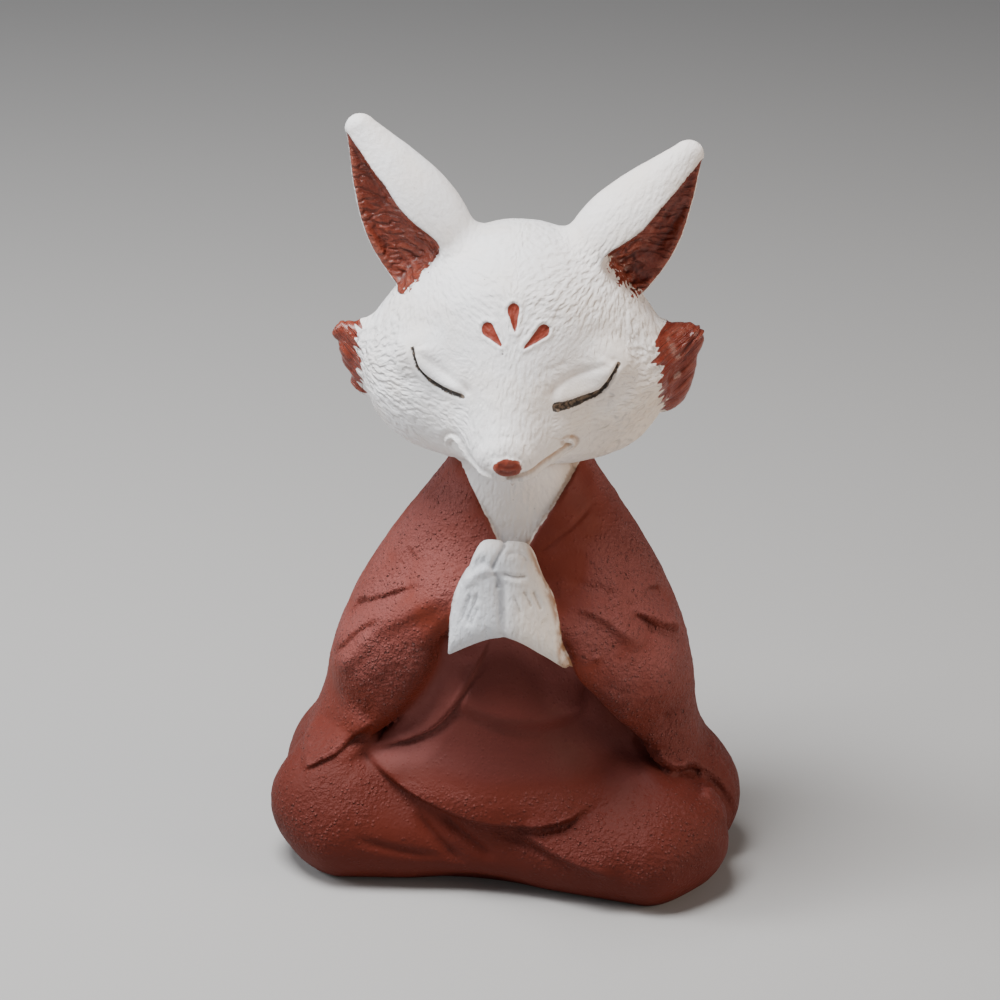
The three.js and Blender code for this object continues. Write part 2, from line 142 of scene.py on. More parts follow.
# Edges and folds of the cloth, as paths in the front view (x, z). A crease has its path, width and
# depth, and the share of its length over which each end fades. A ridge has a depth below 0.
SLEEVE_EDGE_LEFT = (
    (-3.4, 29.6), (-5.7, 26.6), (-6.4, 23.9), (-7.5, 21.4), (-9.6, 18.0), (-12.2, 14.7),
    (-15.0, 12.8), (-20, 11.4),
)
SLEEVE_EDGE_RIGHT = (
    (5.2, 29.6), (7.0, 27.0), (8.0, 24.0), (10.2, 21.2), (12.6, 18.0), (15.4, 14.8),
    (18.2, 12.4), (21.4, 10.8),
)
LINING_EDGE = (
    (-12.6, 13.0), (-9.8, 14.3), (-7.7, 15.4), (-6.0, 16.8), (-4.5, 18.7), (-3.3, 20.9),
    (-2.2, 23.1), (-1.3, 25.3), (-0.5, 28.0),
)
BELLY_FOLD = (
    (-4.6, 20.2), (-3.2, 19.5), (-1.2, 19.0), (0.9, 18.4), (4.7, 18.2), (7.3, 18.2), (10.5, 18.6),
)
LAP_HEM = (
    (-14.0, 13.6), (-12.3, 12.4), (-10.3, 11.2), (-8.6, 10.3), (-5.6, 9.3), (-2.2, 8.4), (0.9, 8.0),
    (3.8, 8.1), (7.0, 8.6), (9.2, 9.4), (11.6, 10.9),
)
SHIN_EDGE = ((2.9, 7.4), (5.0, 6.4), (7.4, 5.3), (10.1, 4.5), (13.6, 3.7))
SHIN_CREASES = (
    (((-7.6, 8.6), (-6.0, 6.8), (-3.9, 4.8), (-2.0, 3.5)), 0.55, 0.5, 0.35),
    (((-4.8, 8.6), (-3.2, 7.2), (-0.6, 5.3), (0.9, 4.3)), 0.55, 0.45, 0.35),
    (((-13.8, 5.9), (-11.0, 5.2), (-7.9, 4.5), (-2.8, 4.0)), 0.45, 0.35, 0.35),
)
KNEE_EDGE_LEFT = ((-19.4, 11.0), (-17.7, 12.0), (-15.8, 13.1), (-13.9, 14.9), (-12.2, 16.6))
KNEE_CREASE_RIGHT = (
    (13.6, 15.4), (14.8, 13.9), (16.4, 12.9), (18.0, 12.0), (19.5, 11.2), (20.9, 10.2),
)
HIP_CREASE_RIGHT = ((18.8, 11.7), (20.0, 10.9), (21.2, 9.8), (22.3, 8.5), (23.5, 6.3), (24.2, 3.6))
ARM_CREASES = (
    (((6.2, 33.2), (8.2, 32.5), (10.1, 31.7), (11.8, 30.6)), 0.7, 0.25),
    (((5.4, 32.5), (8.2, 31.6), (10.2, 30.6), (11.9, 29.3), (13.2, 27.8), (14.2, 26.2)), 0.85, -0.55),
    (((12.7, 29.5), (13.7, 28.9), (14.6, 28.0), (15.2, 26.4)), 0.45, 0.25),
    (((12.9, 30.3), (14.6, 29.3), (16.2, 28.0), (17.5, 26.8), (18.6, 25.8)), 0.5, -0.5),
    (((13.7, 31.2), (15.1, 30.3), (16.3, 29.0), (17.2, 28.2)), 0.34, 0.35),
    (((14.1, 31.9), (15.8, 31.3), (17.0, 30.5), (18.1, 29.2)), 0.6, -0.25),
    ((
        (-16.6, 24.4), (-15.4, 25.9), (-14.2, 27.2), (-13.0, 28.3), (-11.4, 29.5), (-9.7, 30.7),
        (-8.0, 31.8), (-6.2, 33.0),
    ), 0.34, 0.35),
    ((
        (-15.2, 24.5), (-13.6, 26.1), (-11.6, 27.7), (-9.6, 29.1), (-7.6, 30.6), (-5.6, 32.1),
        (-3.8, 33.1),
    ), 0.9, -0.35),
    ((
        (-17.2, 21.3), (-16.4, 22.6), (-15.4, 23.8), (-14.4, 25.1), (-13.4, 26.3), (-12.3, 27.3),
        (-10.6, 28.5),
    ), 0.32, 0.35),
    (((-16.4, 21.2), (-14.9, 23.2), (-13.4, 25.0), (-11.8, 26.5)), 0.8, -0.25),
)
CLOTH_CREASES = (
    (((-9.1, 34.4), (-9.5, 33.0), (-10.0, 31.6)), 0.8, 0.2),
    (((3.5, 35.9), (4.4, 36.5), (5.6, 37.5), (7.3, 38.8), (8.8, 40.2)), 0.2, 0.15),
    (((16.4, 18.9), (17.1, 18.1), (17.0, 16.4)), 0.7, 0.3),
    (((-12.6, 12.6), *LAP_HEM[2:-1], (11.0, 10.4)), 0.34, 0.2, 0.3),
    (((0.2, 7.7), (1.3, 7.2), (5.2, 5.7), (9.3, 4.7), (12.4, 4.0)), 0.36, 0.2, 0.3),
)
BACK_CREASES = (
    (((-8.5, 37.0), (-10.5, 25.0), (-13.5, 13.0)), 1.5, 0.35),
    (((8.5, 37.0), (11.0, 25.0), (14.0, 13.0)), 1.5, 0.35),
    (((-1.5, 33.0), (-3.0, 21.0), (-5.5, 12.0)), 1.3, 0.3),
    (((-18.0, 11.0), (-9.0, 9.2), (0.0, 8.6), (9.0, 9.2), (18.0, 11.0)), 1.2, 0.5),
)
ARM_LUMP = (9.9, 26.5)
ARM_LUMP_RADIUS = 0.3
ARM_LUMP_HEIGHT = 0.28

# Coarse patches of the robe: middle (x, z), reach in x and z, and how coarse
GRITTY_PATCHES = (
    (-11.0, 23.0, 6.0, 6.5, 1.0), (-17.1, 13.7, 4.5, 3.5, 0.45), (-12.9, 29.6, 5.0, 3.6, 0.85),
    (-7.4, 36.5, 6.0, 6.0, 0.8), (14.5, 32.5, 5.5, 6.5, 0.95), (10.1, 28.6, 4.8, 2.6, 1.0),
    (17.2, 25.5, 3.2, 4.5, 1.0), (19.3, 14.2, 4.5, 3.0, 0.8), (19.1, 8.2, 6.0, 4.0, 0.85),
    (8.3, 6.8, 6.0, 2.8, 0.95), (-16.1, 10.1, 6.0, 3.2, 0.7), (-3.9, 10.5, 5.5, 1.6, 0.6),
    (7.0, 10.6, 5.0, 1.8, 0.6), (13.2, 21.5, 4.5, 6.0, 0.8), (17.8, 17.5, 4.0, 5.0, 0.95),
    (-19.5, 7.0, 4.5, 4.0, 0.8),
)

# Joined paws: each lower edge has its slope and how wide it bends at the middle
PAWS_MIDDLE_X = ((28, 0.95), (34, 0.5))
PAWS_HALF_WIDTH = (
    (24.0, 5.75), (27.2, 5.5), (30.6, 5.2), (32.5, 4.7), (34.1, 3.9), (37.7, 2.4), (39.4, 1.55),
)
PAWS_RIGHT_TAIL = 0.9
PAWS_BEVEL_FRONT = 13.25
PAWS_BEVEL_SLOPE = 0.65
PAWS_BEVEL_ROLL = 0.9
PAWS_NOTCH_Z = 28.35
PAWS_NOTCH_LEFT = (0.72, 3.0)
PAWS_NOTCH_RIGHT = (0.60, 1.5)
PAWS_GROOVE_DEPTH = 0.6
PAWS_GROOVE_WIDTH = 0.42
PAW_LOBE = ((1.6, -17.4, 26.0), (0.9, -16.4, 35.6), 4.6, 2.3)
PAW_DEPTH_SCALE = 1.5
PAW_SPREAD = 0.8
PAW_VALLEY = 0.5
PAW_CREASES = (
    (((0.55, 37.9), (0.2, 37.2), (-0.2, 36.3), (-0.6, 35.4)), 0.24, 0.36, 0.1),
    (((-0.4, 35.2), (0.1, 34.6), (0.2, 33.4)), 0.26, 0.3),
    (((0.7, 36.9), (1.3, 37.2), (2.4, 37.0), (2.9, 36.2)), 0.22, 0.22),
    (((0.4, 35.1), (1.6, 34.9), (3.0, 35.0)), 0.2, 0.28),
    (((0.5, 34.6), (1.7, 34.4), (3.0, 34.4)), 0.2, -0.14),
    (((-3.2, 33.4), (-2.0, 34.9), (-0.5, 35.6)), 0.4, -0.28),
    (((-3.1, 34.4), (-1.9, 35.9), (-1.0, 36.3)), 0.35, 0.2),
    (((-1.7, 33.2), (-2.4, 31.3), (-2.9, 29.8)), 0.2, 0.26),
    (((-2.5, 33.0), (-3.3, 30.2)), 0.22, 0.26),
    (((-1.7, 31.8), (-2.4, 29.8)), 0.18, 0.22),
    (((2.6, 33.7), (3.6, 32.0)), 0.2, 0.22),
    (((3.5, 33.7), (4.5, 31.7)), 0.2, 0.26),
    (((1.8, 33.0), (2.5, 31.4)), 0.16, 0.18),
)

# Marks on the head, as paths in the front view (x, z)
EYES = (
    ((-9.3, 56.6), (-9.0, 55.6), (-8.4, 54.5), (-7.1, 53.6), (-5.5, 53.1), (-3.6, 53.0)),
    ((4.6, 52.6), (5.8, 52.6), (7.1, 52.8), (8.9, 53.4), (10.0, 54.9), (10.6, 56.1)),
)
LID_CREASES = (
    (((-9.4, 56.9), (-8.6, 56.1), (-7.2, 55.4), (-5.4, 54.6), (-3.8, 53.9), (-2.8, 53.3)), 0.4, 0.22),
    (((4.2, 53.4), (4.8, 54.2), (6.1, 55.0), (7.9, 55.5), (9.5, 55.9), (10.6, 56.5)), 0.4, 0.22),
    (((3.4, 56.0), (4.7, 56.2), (5.8, 56.6)), 0.3, 0.08),
)
LIPS = (
    (
        (-5.4, 47.2), (-5.5, 47.9), (-5.0, 48.6), (-4.3, 48.6), (-3.4, 47.5), (-2.3, 47.0),
        (-0.8, 46.9), (0.4, 46.6), (1.5, 46.6),
    ),
    ((1.5, 46.6), (3.3, 47.0), (4.3, 47.2), (5.5, 47.6), (6.4, 48.1), (6.6, 48.6), (6.1, 49.0)),
)
NOSE_PAD_MIDDLE = (1.15, 48.2)
NOSE_PAD_HALF = (1.35, 0.92)
NOSE_GROOVES = (
    (((0.2, 48.45), (1.1, 48.3), (2.0, 48.45)), 0.14, 0.16),
    (((0.3, 47.95), (1.1, 47.8), (1.9, 47.95)), 0.14, 0.16),
)
PETALS = (
    ((0.42, 61.3), (0.78, 59.5), 0.6),
    ((-1.85, 59.45), (-0.4, 58.25), 0.66),
    ((3.35, 59.5), (1.75, 58.15), 0.62),
)
TUFT_PAINT_EDGES = (
    ((-15.8, 56.1), (-15.5, 54.9), (-15.6, 53.6), (-15.3, 52.1), (-15.2, 50.6), (-15.1, 49.1)),
    ((14.4, 57.2), (13.8, 56.4), (13.9, 55.1), (14.4, 53.5), (14.4, 52.2), (14.6, 50.5), (14.7, 49.4)),
)
CUP_PAINT_ENDS = (
    ((-7.6, 64.6), (-7.9, 63.9), (-8.6, 62.7), (-9.3, 62.0), (-9.8, 61.3), (-10.8, 60.0)),
    ((8.6, 63.9), (8.9, 63.1), (9.5, 62.3), (10.1, 61.6), (10.9, 60.9), (11.6, 60.2)),
)


# Measures between shapes


def smooth_step(low, high, value):
    t = np.clip((value - low) / (high - low), 0.0, 1.0)
    return t * t * (3.0 - 2.0 * t)


def bell(value, width):
    """1 where the value is 0, falling to nothing about two widths away."""
    return np.exp(-((value / width) ** 2))


def join(a, b, fillet):
    """Two shapes joined with a fillet of about the given size."""
    h = np.clip(0.5 + 0.5 * (b - a) / fillet, 0.0, 1.0)
    return b + (a - b) * h - fillet * h * (1.0 - h)


def cut(a, b, rounding):
    """The second shape cut out of the first, with a rounded edge."""
    return -join(-a, b, rounding)


def only(near, shape, *point):
    """The shape worked out at the points where near is true, and far away elsewhere."""
    value = np.full(near.shape, FAR)
    value[near] = shape(*(axis[near] for axis in point))
    return value


def egg(x, y, z, middle, radii):
    px = (x - middle[0]) / radii[0]
    py = (y - middle[1]) / radii[1]
    pz = (z - middle[2]) / radii[2]
    inner = np.sqrt(px * px + py * py + pz * pz)
    slope = np.sqrt((px / radii[0]) ** 2 + (py / radii[1]) ** 2 + (pz / radii[2]) ** 2)
    return inner * (inner - 1.0) / np.maximum(slope, 1e-9)


def limb(x, y, z, start, end, start_radius, end_radius):
    """A round limb that tapers from one end to the other."""
    dx, dy, dz = (e - s for s, e in zip(start, end))
    px, py, pz = x - start[0], y - start[1], z - start[2]
    t = np.clip((px * dx + py * dy + pz * dz) / (dx * dx + dy * dy + dz * dz), 0.0, 1.0)
    reach = np.sqrt((px - t * dx) ** 2 + (py - t * dy) ** 2 + (pz - t * dz) ** 2)
    return reach - (start_radius + (end_radius - start_radius) * t)


def profile(knots):
    """A smooth curve through knots of (position, value), level beyond its ends."""
    at, value = np.array(knots, float).T
    slope = np.gradient(value, at)
    slope[0] = slope[-1] = 0.0

    def curve(position):
        held = np.clip(position, at[0], at[-1])
        i = np.clip(np.searchsorted(at, held, side="left") - 1, 0, len(at) - 2)
        h = at[i + 1] - at[i]
        t = (held - at[i]) / h
        s = 1.0 - t
        rising = value[i] * (1 + 2 * t) * s * s + slope[i] * h * t * s * s
        return rising + value[i + 1] * t * t * (3 - 2 * t) + slope[i + 1] * h * t * t * (t - 1)

    return curve


class Path:
    """A smooth path in the front view through points of (x, z)."""

    STEPS = 5

    def __init__(self, points):
        knots = np.array([points[0], *points, points[-1]], float)
        line = []
        for a, b, c, d in zip(knots, knots[1:], knots[2:], knots[3:]):
            for t in np.arange(self.STEPS) / self.STEPS:
                bend = (2 * a - 5 * b + 4 * c - d) * t * t + (3 * b - 3 * c + d - a) * t**3
                line.append(0.5 * (2 * b + (c - a) * t + bend))
        line.append(knots[-1])
        self.line = np.array(line)

    def measure(self, x, z):
        """Distance from the path, positive on its left, and the share of it passed, from 0 to 1."""
        nearest = np.full(x.shape, FAR * FAR)
        side = np.zeros(x.shape)
        along = np.zeros(x.shape)
        count = len(self.line) - 1
        for i, (start, end) in enumerate(zip(self.line, self.line[1:])):
            dx, dz = end - start
            px, pz = x - start[0], z - start[1]
            t = np.clip((px * dx + pz * dz) / (dx * dx + dz * dz), 0.0, 1.0)
            ex, ez = px - t * dx, pz - t * dz
            squared = ex * ex + ez * ez
            closer = squared < nearest
            nearest = np.where(closer, squared, nearest)
            side = np.where(closer, np.sign(dx * ez - dz * ex), side)
            along = np.where(closer, (i + t) / count, along)
        return np.sqrt(nearest) * side, along

    def near(self, x, z, margin):
        low = self.line.min(axis=0) - margin
        high = self.line.max(axis=0) + margin
        return (x > low[0]) & (x < high[0]) & (z > low[1]) & (z < high[1])


def fade_ends(along, share=0.2):
    return smooth_step(0, share, along) * smooth_step(0, share, 1 - along)


def along_path(path, margin, height):
    """Relief that follows a path: height is a function of the distance and the share passed."""
    route = Path(path)

    def relief(x, z):
        total = np.zeros(x.shape)
        near = route.near(x, z, margin)
        total[near] = height(*route.measure(x[near], z[near]))
        return total

    return relief


def crease(path, width, depth, fade=0.2):
    """A crease pressed in along a path, or a ridge if the depth is negative."""

    def height(distance, along):
        return -depth * bell(distance, width) * fade_ends(along, fade)

    return along_path(path, 3 * width, height)


def edge(path, step, height, reach):
    """Cloth that stands up to the path's left and sinks back further away."""

    def rise(distance, along):
        falling = bell(np.maximum(distance, 0), reach)
        return height * smooth_step(-step, step, distance) * falling * fade_ends(along)

    return along_path(path, 2.5 * reach, rise)


def creases(rows, *fade):
    return [crease(*row, *fade) for row in rows]


def folded(folds, front, x, z):
    """The height that a set of folds adds, where the share front is above 0."""
    height = np.zeros(x.shape)
    near = front > 0
    for fold in folds:
        height[near] += fold(x[near], z[near])
    return height * front


def passes(paths, margin, front, x, y, z):
    """For each path: the points near it and ahead of front, distance, share passed, if on the left."""
    for path in paths:
        route = Path(path)
        near = route.near(x, z, margin) & (y < front)
        distance, along = route.measure(x[near], z[near])
        yield near, distance, along, path[0][0] < 0


# Head


def turned_head(x, y):
    c, s = math.cos(HEAD_TURN), math.sin(HEAD_TURN)
    return c * x + s * y, -s * x + c * y


def cheek_tuft(x, y, z):
    flat = TUFT_ROOT[1] + (y - TUFT_ROOT[1]) * TUFT_FLATNESS
    height = z - x * TUFT_TILT
    tuft = np.full(x.shape, FAR)
    for here, locks in ((x < 0, TUFT_LOCKS_LEFT), (x >= 0, TUFT_LOCKS_RIGHT)):
        for end_x, end_z, radius, root_radius in locks:
            end = (end_x, TUFT_END_Y, end_z)
            lock = limb(np.abs(x), flat, height, TUFT_ROOT, end, root_radius, radius)
            tuft = np.where(here, join(tuft, lock, 1.5), tuft)
    return tuft * 0.85


def head(x, y, z):
    side = np.abs(x)
    depth = np.where(y < HEAD_MIDDLE[1], HEAD_FRONT, HEAD_REAR)
    height = np.where(z > HEAD_MIDDLE[2], HEAD_ABOVE, HEAD_BELOW)
    skull_x = x / (1 - HEAD_TAPER * np.clip(z - 54, 0, 12))
    form = egg(skull_x, y, z, HEAD_MIDDLE, (HEAD_HALF_WIDTH, depth, height))
    for shape, across, sizes, fillet in (
        (egg, side, CHEEK, 3.5),
        (limb, x, MUZZLE, 4.5),
        (limb, side, UPPER_LIP, 2.5),
        (limb, side, CHIN, 0.8),
        (egg, side, EYEBALL, 1.2),
        (egg, x, NOSE, 0.5),
    ):
        form = join(form, shape(across, y, z, *sizes), fillet)
    return join(form, cheek_tuft(x, y, z), 1.2)


# Ears

EAR_LENGTH = np.linalg.norm(EAR_TIP - EAR_ROOT)
EAR_AXIS = (EAR_TIP - EAR_ROOT) / EAR_LENGTH
EAR_OUTWARD = np.array((1.0, 0, 0)) - EAR_AXIS * EAR_AXIS[0]
EAR_OUTWARD /= np.linalg.norm(EAR_OUTWARD)
EAR_FORWARD = np.cross(EAR_OUTWARD, EAR_AXIS)
ear_radius = profile(EAR_RADIUS)
ear_opening = profile(EAR_OPENING)
ear_cup_floor = profile(EAR_CUP_FLOOR)


def ear_place(x, y, z):
    """Forward, outward and along the ear, from its root."""
    lowered = np.where(x > 0, EAR_DROP, 0) * smooth_step(62, 76, z)
    px = np.abs(x) - np.where(x < 0, EAR_SPREAD, 0) - EAR_ROOT[0]
    py = y - EAR_ROOT[1]
    pz = z + lowered - EAR_ROOT[2]
    return tuple(px * a[0] + py * a[1] + pz * a[2] for a in (EAR_FORWARD, EAR_OUTWARD, EAR_AXIS))


def ear_leaf_and_cup(x, y, z):
    forward, outward, along = ear_place(x, y, z)
    radius = ear_radius(along)
    core = np.clip(along, -2.5, EAR_LENGTH)
    leaf = (np.sqrt((forward * EAR_THINNESS) ** 2 + outward**2 + (along - core) ** 2) - radius) * 0.85
    angle = np.radians(ear_opening(along) - EAR_OPENING_BY_SIDE * np.sign(x))
    across = np.cos(angle) * forward - np.sin(angle) * outward
    out = np.cos(angle) * outward + np.sin(angle) * forward
    rim = np.cos(angle)
    floor = ear_cup_floor(along)
    cup_radius = radius * (1 + floor**2 - 2 * floor * rim) / (2 * (rim - floor))
    cup_offset = cup_radius + floor * radius
    cup_core = np.clip(along, 1.0, EAR_LENGTH - 0.3)
    cup = (np.sqrt(across**2 + (out - cup_offset) ** 2 + (along - cup_core) ** 2) - cup_radius) * 0.82
    return leaf, cup


def ear(x, y, z):
    leaf, cup = ear_leaf_and_cup(x, y, z)
    return cut(leaf, cup, 0.35)


def head_and_ears(x, y, z):
    ears = only(z > 55, ear, x, y, z)
    return join(head(x, y, z), ears, 1.6 - 1.2 * smooth_step(8, 12, np.abs(x)))


# Robe

robe_middle_x = profile(ROBE_MIDDLE_X)
robe_half_width = profile(ROBE_HALF_WIDTH)
robe_front = profile(ROBE_FRONT)
robe_rear = profile(ROBE_REAR)
chest_half_width = profile(CHEST_HALF_WIDTH)
sleeve_left = Path(SLEEVE_EDGE_LEFT)
sleeve_right = Path(SLEEVE_EDGE_RIGHT)
arm_folds = creases(ARM_CREASES, 0.3)
knee_folds = [edge(KNEE_EDGE_LEFT, 0.3, 0.5, 2.5), crease(KNEE_CREASE_RIGHT, 0.5, 0.5, 0.15)]
hip_folds = [crease(HIP_CREASE_RIGHT, 0.5, 0.45, 0.3)]
lap_folds = [
    edge(LINING_EDGE, 0.3, 0.85, 5.0),
    edge(BELLY_FOLD, 1.2, 1.1, 3.5),
    edge(LAP_HEM, 0.5, 1.1, 4.0),
    edge(SHIN_EDGE, 0.7, 0.8, 2.5),
    *creases(SHIN_CREASES),
]


def robe_outside(x, y, z):
    half_width = robe_half_width(z)
    depth = np.where(y < 0, robe_front(z), robe_rear(z))
    wide = np.abs((x - robe_middle_x(z)) / half_width) ** ROBE_ROUNDNESS
    deep = np.abs(y / depth) ** ROBE_ROUNDNESS
    share = (wide + deep) ** (1 / ROBE_ROUNDNESS)
    side = (share - 1) * np.minimum(half_width, depth) * 0.8
    return cut(side, ROBE_TOP - z, 1.5)


def below_sleeves(x, y, z):
    left, _ = sleeve_left.measure(x, z)
    right, _ = sleeve_right.measure(x, z)
    return np.maximum(np.maximum(-left, right), np.maximum(y + 4, z - 29.4))


def hollow_under_sleeves(x, y, z):
    return only((y < -2) & (z < 32), below_sleeves, x, y, z)


def recess_depth(x, y, z):
    """How far a point lies inside the smooth hollow between the sleeves and the lap."""
    depth = -only((y < -3) & (z < 31), below_sleeves, x, y, z)
    return np.clip(depth, -2, 2) * smooth_step(10.5, 15.5, z)


def shoulders(x, y, z):
    cloth = robe_outside(x, y, z)
    for forearm in (FOREARM_LEFT, FOREARM_RIGHT):
        cloth = join(cloth, limb(x, y, z, *forearm), 2.5)
    cloth = cloth - folded(arm_folds, smooth_step(-1, -4, y), x, z)
    chest = np.maximum(cloth + CHEST_RECESS, CHEST_BOTTOM - z)
    cloth = cut(cloth, hollow_under_sleeves(x, y, z), SLEEVE_ROLL)
    collar = (np.abs(x - CHEST_MIDDLE_X) - chest_half_width(z)) * 0.9
    cloth = cut(cloth, np.maximum(collar, y), 0.4)
    return np.minimum(cloth, chest)


def lap_and_legs(x, y, z):
    left = join(limb(x, y, z, *HIP_LEFT), limb(x, y, z, *THIGH_LEFT), 2.5)
    right = join(limb(x, y, z, *HIP_RIGHT), limb(x, y, z, *THIGH_RIGHT), 0.8)
    shins = join(limb(x, y, z, *SHIN_LEFT), limb(x, y, z, *SHIN_RIGHT), 1.0)
    legs = join(np.minimum(left, right), limb(np.abs(x), y, z, *LAP), 3.0)
    legs = join(legs, shins, 1.5)
    belly = limb(x, y, z, *BELLY)
    return join(belly, legs, 3.0) - folded(lap_folds, smooth_step(-4.5, -7.5, y), x, z)


def robe(x, y, z):
    recess = smooth_step(-1.5, 0.5, -hollow_under_sleeves(x, y, z)) * smooth_step(11, 15, z)
    sleeve_ends = smooth_step(12.5, 15.5, np.abs(x)) * smooth_step(17, 14, z)
    fillet = 1.0 + RECESS_FILLET * recess + SLEEVE_END_FILLET * sleeve_ends
    cloth = join(shoulders(x, y, z), lap_and_legs(x, y, z), fillet)
    cloth = cloth - folded(hip_folds, smooth_step(1, -2, y), x, z)
    return cloth - folded(knee_folds, smooth_step(-2, -5, y), x, z)


# Paws and neck

paws_middle_x = profile(PAWS_MIDDLE_X)
paws_half_width = profile(PAWS_HALF_WIDTH)


def paws(x, y, z):
    px = x - paws_middle_x(z)
    side = np.hypot(px, PAW_VALLEY)
    lobe = limb(side * PAW_SPREAD, y * PAW_DEPTH_SCALE, z, *PAW_LOBE) * 0.75
    tail = PAWS_RIGHT_TAIL * smooth_step(28.5, 25.0, z) * (px > 0)
    outside = (np.abs(px) - paws_half_width(z) - tail) * 0.93
    drop = [slope * (np.hypot(px, bend) - bend) for slope, bend in (PAWS_NOTCH_LEFT, PAWS_NOTCH_RIGHT)]
    under = (PAWS_NOTCH_Z - np.where(px < 0, *drop) - z) * 0.87
    form = cut(lobe, -outside, 0.5)
    form = cut(form, -under, 0.35)
    bevel = (-PAWS_BEVEL_FRONT - y + PAWS_BEVEL_SLOPE * under) * 0.85
    form = cut(form, -bevel, PAWS_BEVEL_ROLL)
    groove = smooth_step(35.5, 33, z) * smooth_step(-0.5, 2.5, -under)
    return form + PAWS_GROOVE_DEPTH * bell(px, PAWS_GROOVE_WIDTH) * groove


def near_paws(x, y, z):
    return (y < -5) & (z > 21) & (z < 43) & (np.abs(x) < 11)


def joined_paws(x, y, z):
    return only(near_paws(x, y, z), paws, x, y, z)


def neck(x, y, z):
    return limb(x, y, z, *NECK)


def body(x, y, z):
    clothed = join(robe(x, y, z), neck(x, y, z), 0.4)
    return join(clothed, joined_paws(x, y, z), 0.3)


def figure(x, y, z):
    hx, hy = turned_head(x, y)
    form = only(z > 38, head_and_ears, hx, hy, z)
    form = join(form, only(z < 54, body, x, y, z), 0.5)
    form = cut(form, egg(x, y, z, *BASE_ARCH), 1.5)
    return np.maximum(form, -z)


# Noise


def cell_value(i, j, k, seed):
    """A repeatable random number from 0 to 1 for each cell of a grid."""
    mixed = (i * 73856093) ^ (j * 19349663) ^ (k * 83492791) ^ (seed * 40503001 + 911)
    mixed = ((mixed ^ (mixed >> 13)) * 1274126177) & 0xFFFFFFFF
    mixed = ((mixed ^ (mixed >> 15)) * 2246822519) & 0xFFFFFFFF
    return ((mixed ^ (mixed >> 16)) & 0xFFFFFF) / 0xFFFFFF


def noise(x, y, z, seed=0):
    """Smooth noise from -1 to 1 with cells of one unit."""
    cell = [np.floor(axis).astype(np.int64) for axis in (x, y, z)]
    share = [axis - low for axis, low in zip((x, y, z), cell)]
    share = [t * t * (3 - 2 * t) for t in share]
    total = np.zeros(x.shape)
    for corner in np.ndindex(2, 2, 2):
        weight = np.ones(x.shape)
        for t, far in zip(share, corner):
            weight = weight * (t if far else 1 - t)
        total += weight * cell_value(*(low + far for low, far in zip(cell, corner)), seed)
    return total * 2 - 1


def lumps(x, y, z, size, seed, octaves=2):
    total = np.zeros(x.shape)
    for octave in range(octaves):
        scale = 2**octave / size
        total += noise(x * scale, y * scale, z * scale, seed + octave) / 2**octave
    return total


# The run of the fur: the double angle of its direction in the front view

FUR_BINS = 6
FUR_STRETCH = 2.3
FUR_PITCH = 0.6
FUR_DEPTH = 0.055
TUFT_MIDDLE = (16.5, 52.5)
EAR_BASE_MIDDLE = (9.0, 64.5)


def fur_run(x, y, z):
    hx, hy = turned_head(x, y)
    side = np.clip(hx / 2.5, -1, 1)
    on_ear = smooth_step(1.3, 0.2, only(z > 55, ear, hx, hy, z))
    on_head = smooth_step(43.5, 45.5, z)
    on_muzzle = smooth_step(5.0, 2.5, np.abs(hx)) * smooth_step(59, 55, z) * (y < 0)
    on_cheek = smooth_step(58.5, 55, z) * (1 - on_muzzle)
    on_skull = (1 - on_ear) * on_head
    on_brow = on_skull * (1 - on_muzzle) * (1 - on_cheek)
    runs = (
        (on_ear, side * (EAR_TIP[0] - EAR_ROOT[0]), EAR_TIP[2] - EAR_ROOT[2]),
        (on_brow, side * EAR_BASE_MIDDLE[0] - hx, EAR_BASE_MIDDLE[1] - z),
        (on_skull * on_cheek, side * TUFT_MIDDLE[0] - hx, TUFT_MIDDLE[1] - z),
        (on_skull * on_muzzle, -0.25 * hx, 4.0),
        (1 - on_head, 0.8 - x, 52 - z),
    )
    cosine = np.zeros(x.shape)
    sine = np.zeros(x.shape)
    for weight, dx, dz in runs:
        length = np.maximum(dx * dx + dz * dz, 1e-6)
        cosine += weight * (dx * dx - dz * dz) / length
        sine += weight * 2 * dx * dz / length
    size = np.maximum(np.hypot(cosine, sine), 1e-6)
    return cosine / size, sine / size


def fur_bins():
    """The directions that strokes are made in, as cosine and sine, plain and of the double angle."""
    for i in range(FUR_BINS):
        angle = math.pi * i / FUR_BINS
        yield i, math.cos(angle), math.sin(angle), math.cos(2 * angle), math.sin(2 * angle)


def fur(x, y, z, seed):
    """Strokes along the run of the fur."""
    cosine, sine = fur_run(x, y, z)
    total = np.zeros(x.shape)
    for i, c, s, double_c, double_s in fur_bins():
        weight = np.maximum(0, 2 * (cosine * double_c + sine * double_s) - 1)
        along = (x * c + z * s) / (FUR_PITCH * FUR_STRETCH)
        across = (z * c - x * s) / FUR_PITCH
        total += weight * noise(along, y / (FUR_PITCH * 3), across, seed + i)
    return total


# Painted areas, in millimetres, positive inside and measured up to MARGIN from their edge


def white_area(x, y, z):
    hx, hy = turned_head(x, y)
    opening = chest_half_width(z) - np.abs(x - CHEST_MIDDLE_X)
    covered = (y < 0) & (opening < 0)
    bare = only(z > 38, head_and_ears, hx, hy, z)
    bare = np.minimum(bare, np.where(covered, FAR, neck(x, y, z)))
    bare = np.minimum(bare, joined_paws(x, y, z))
    clothed = only(z < 54, robe, x, y, z)
    chest = np.where((z > 34) & (y < 0), opening, -FAR)
    return np.clip(np.maximum(clothed - bare, chest), -MARGIN, MARGIN)


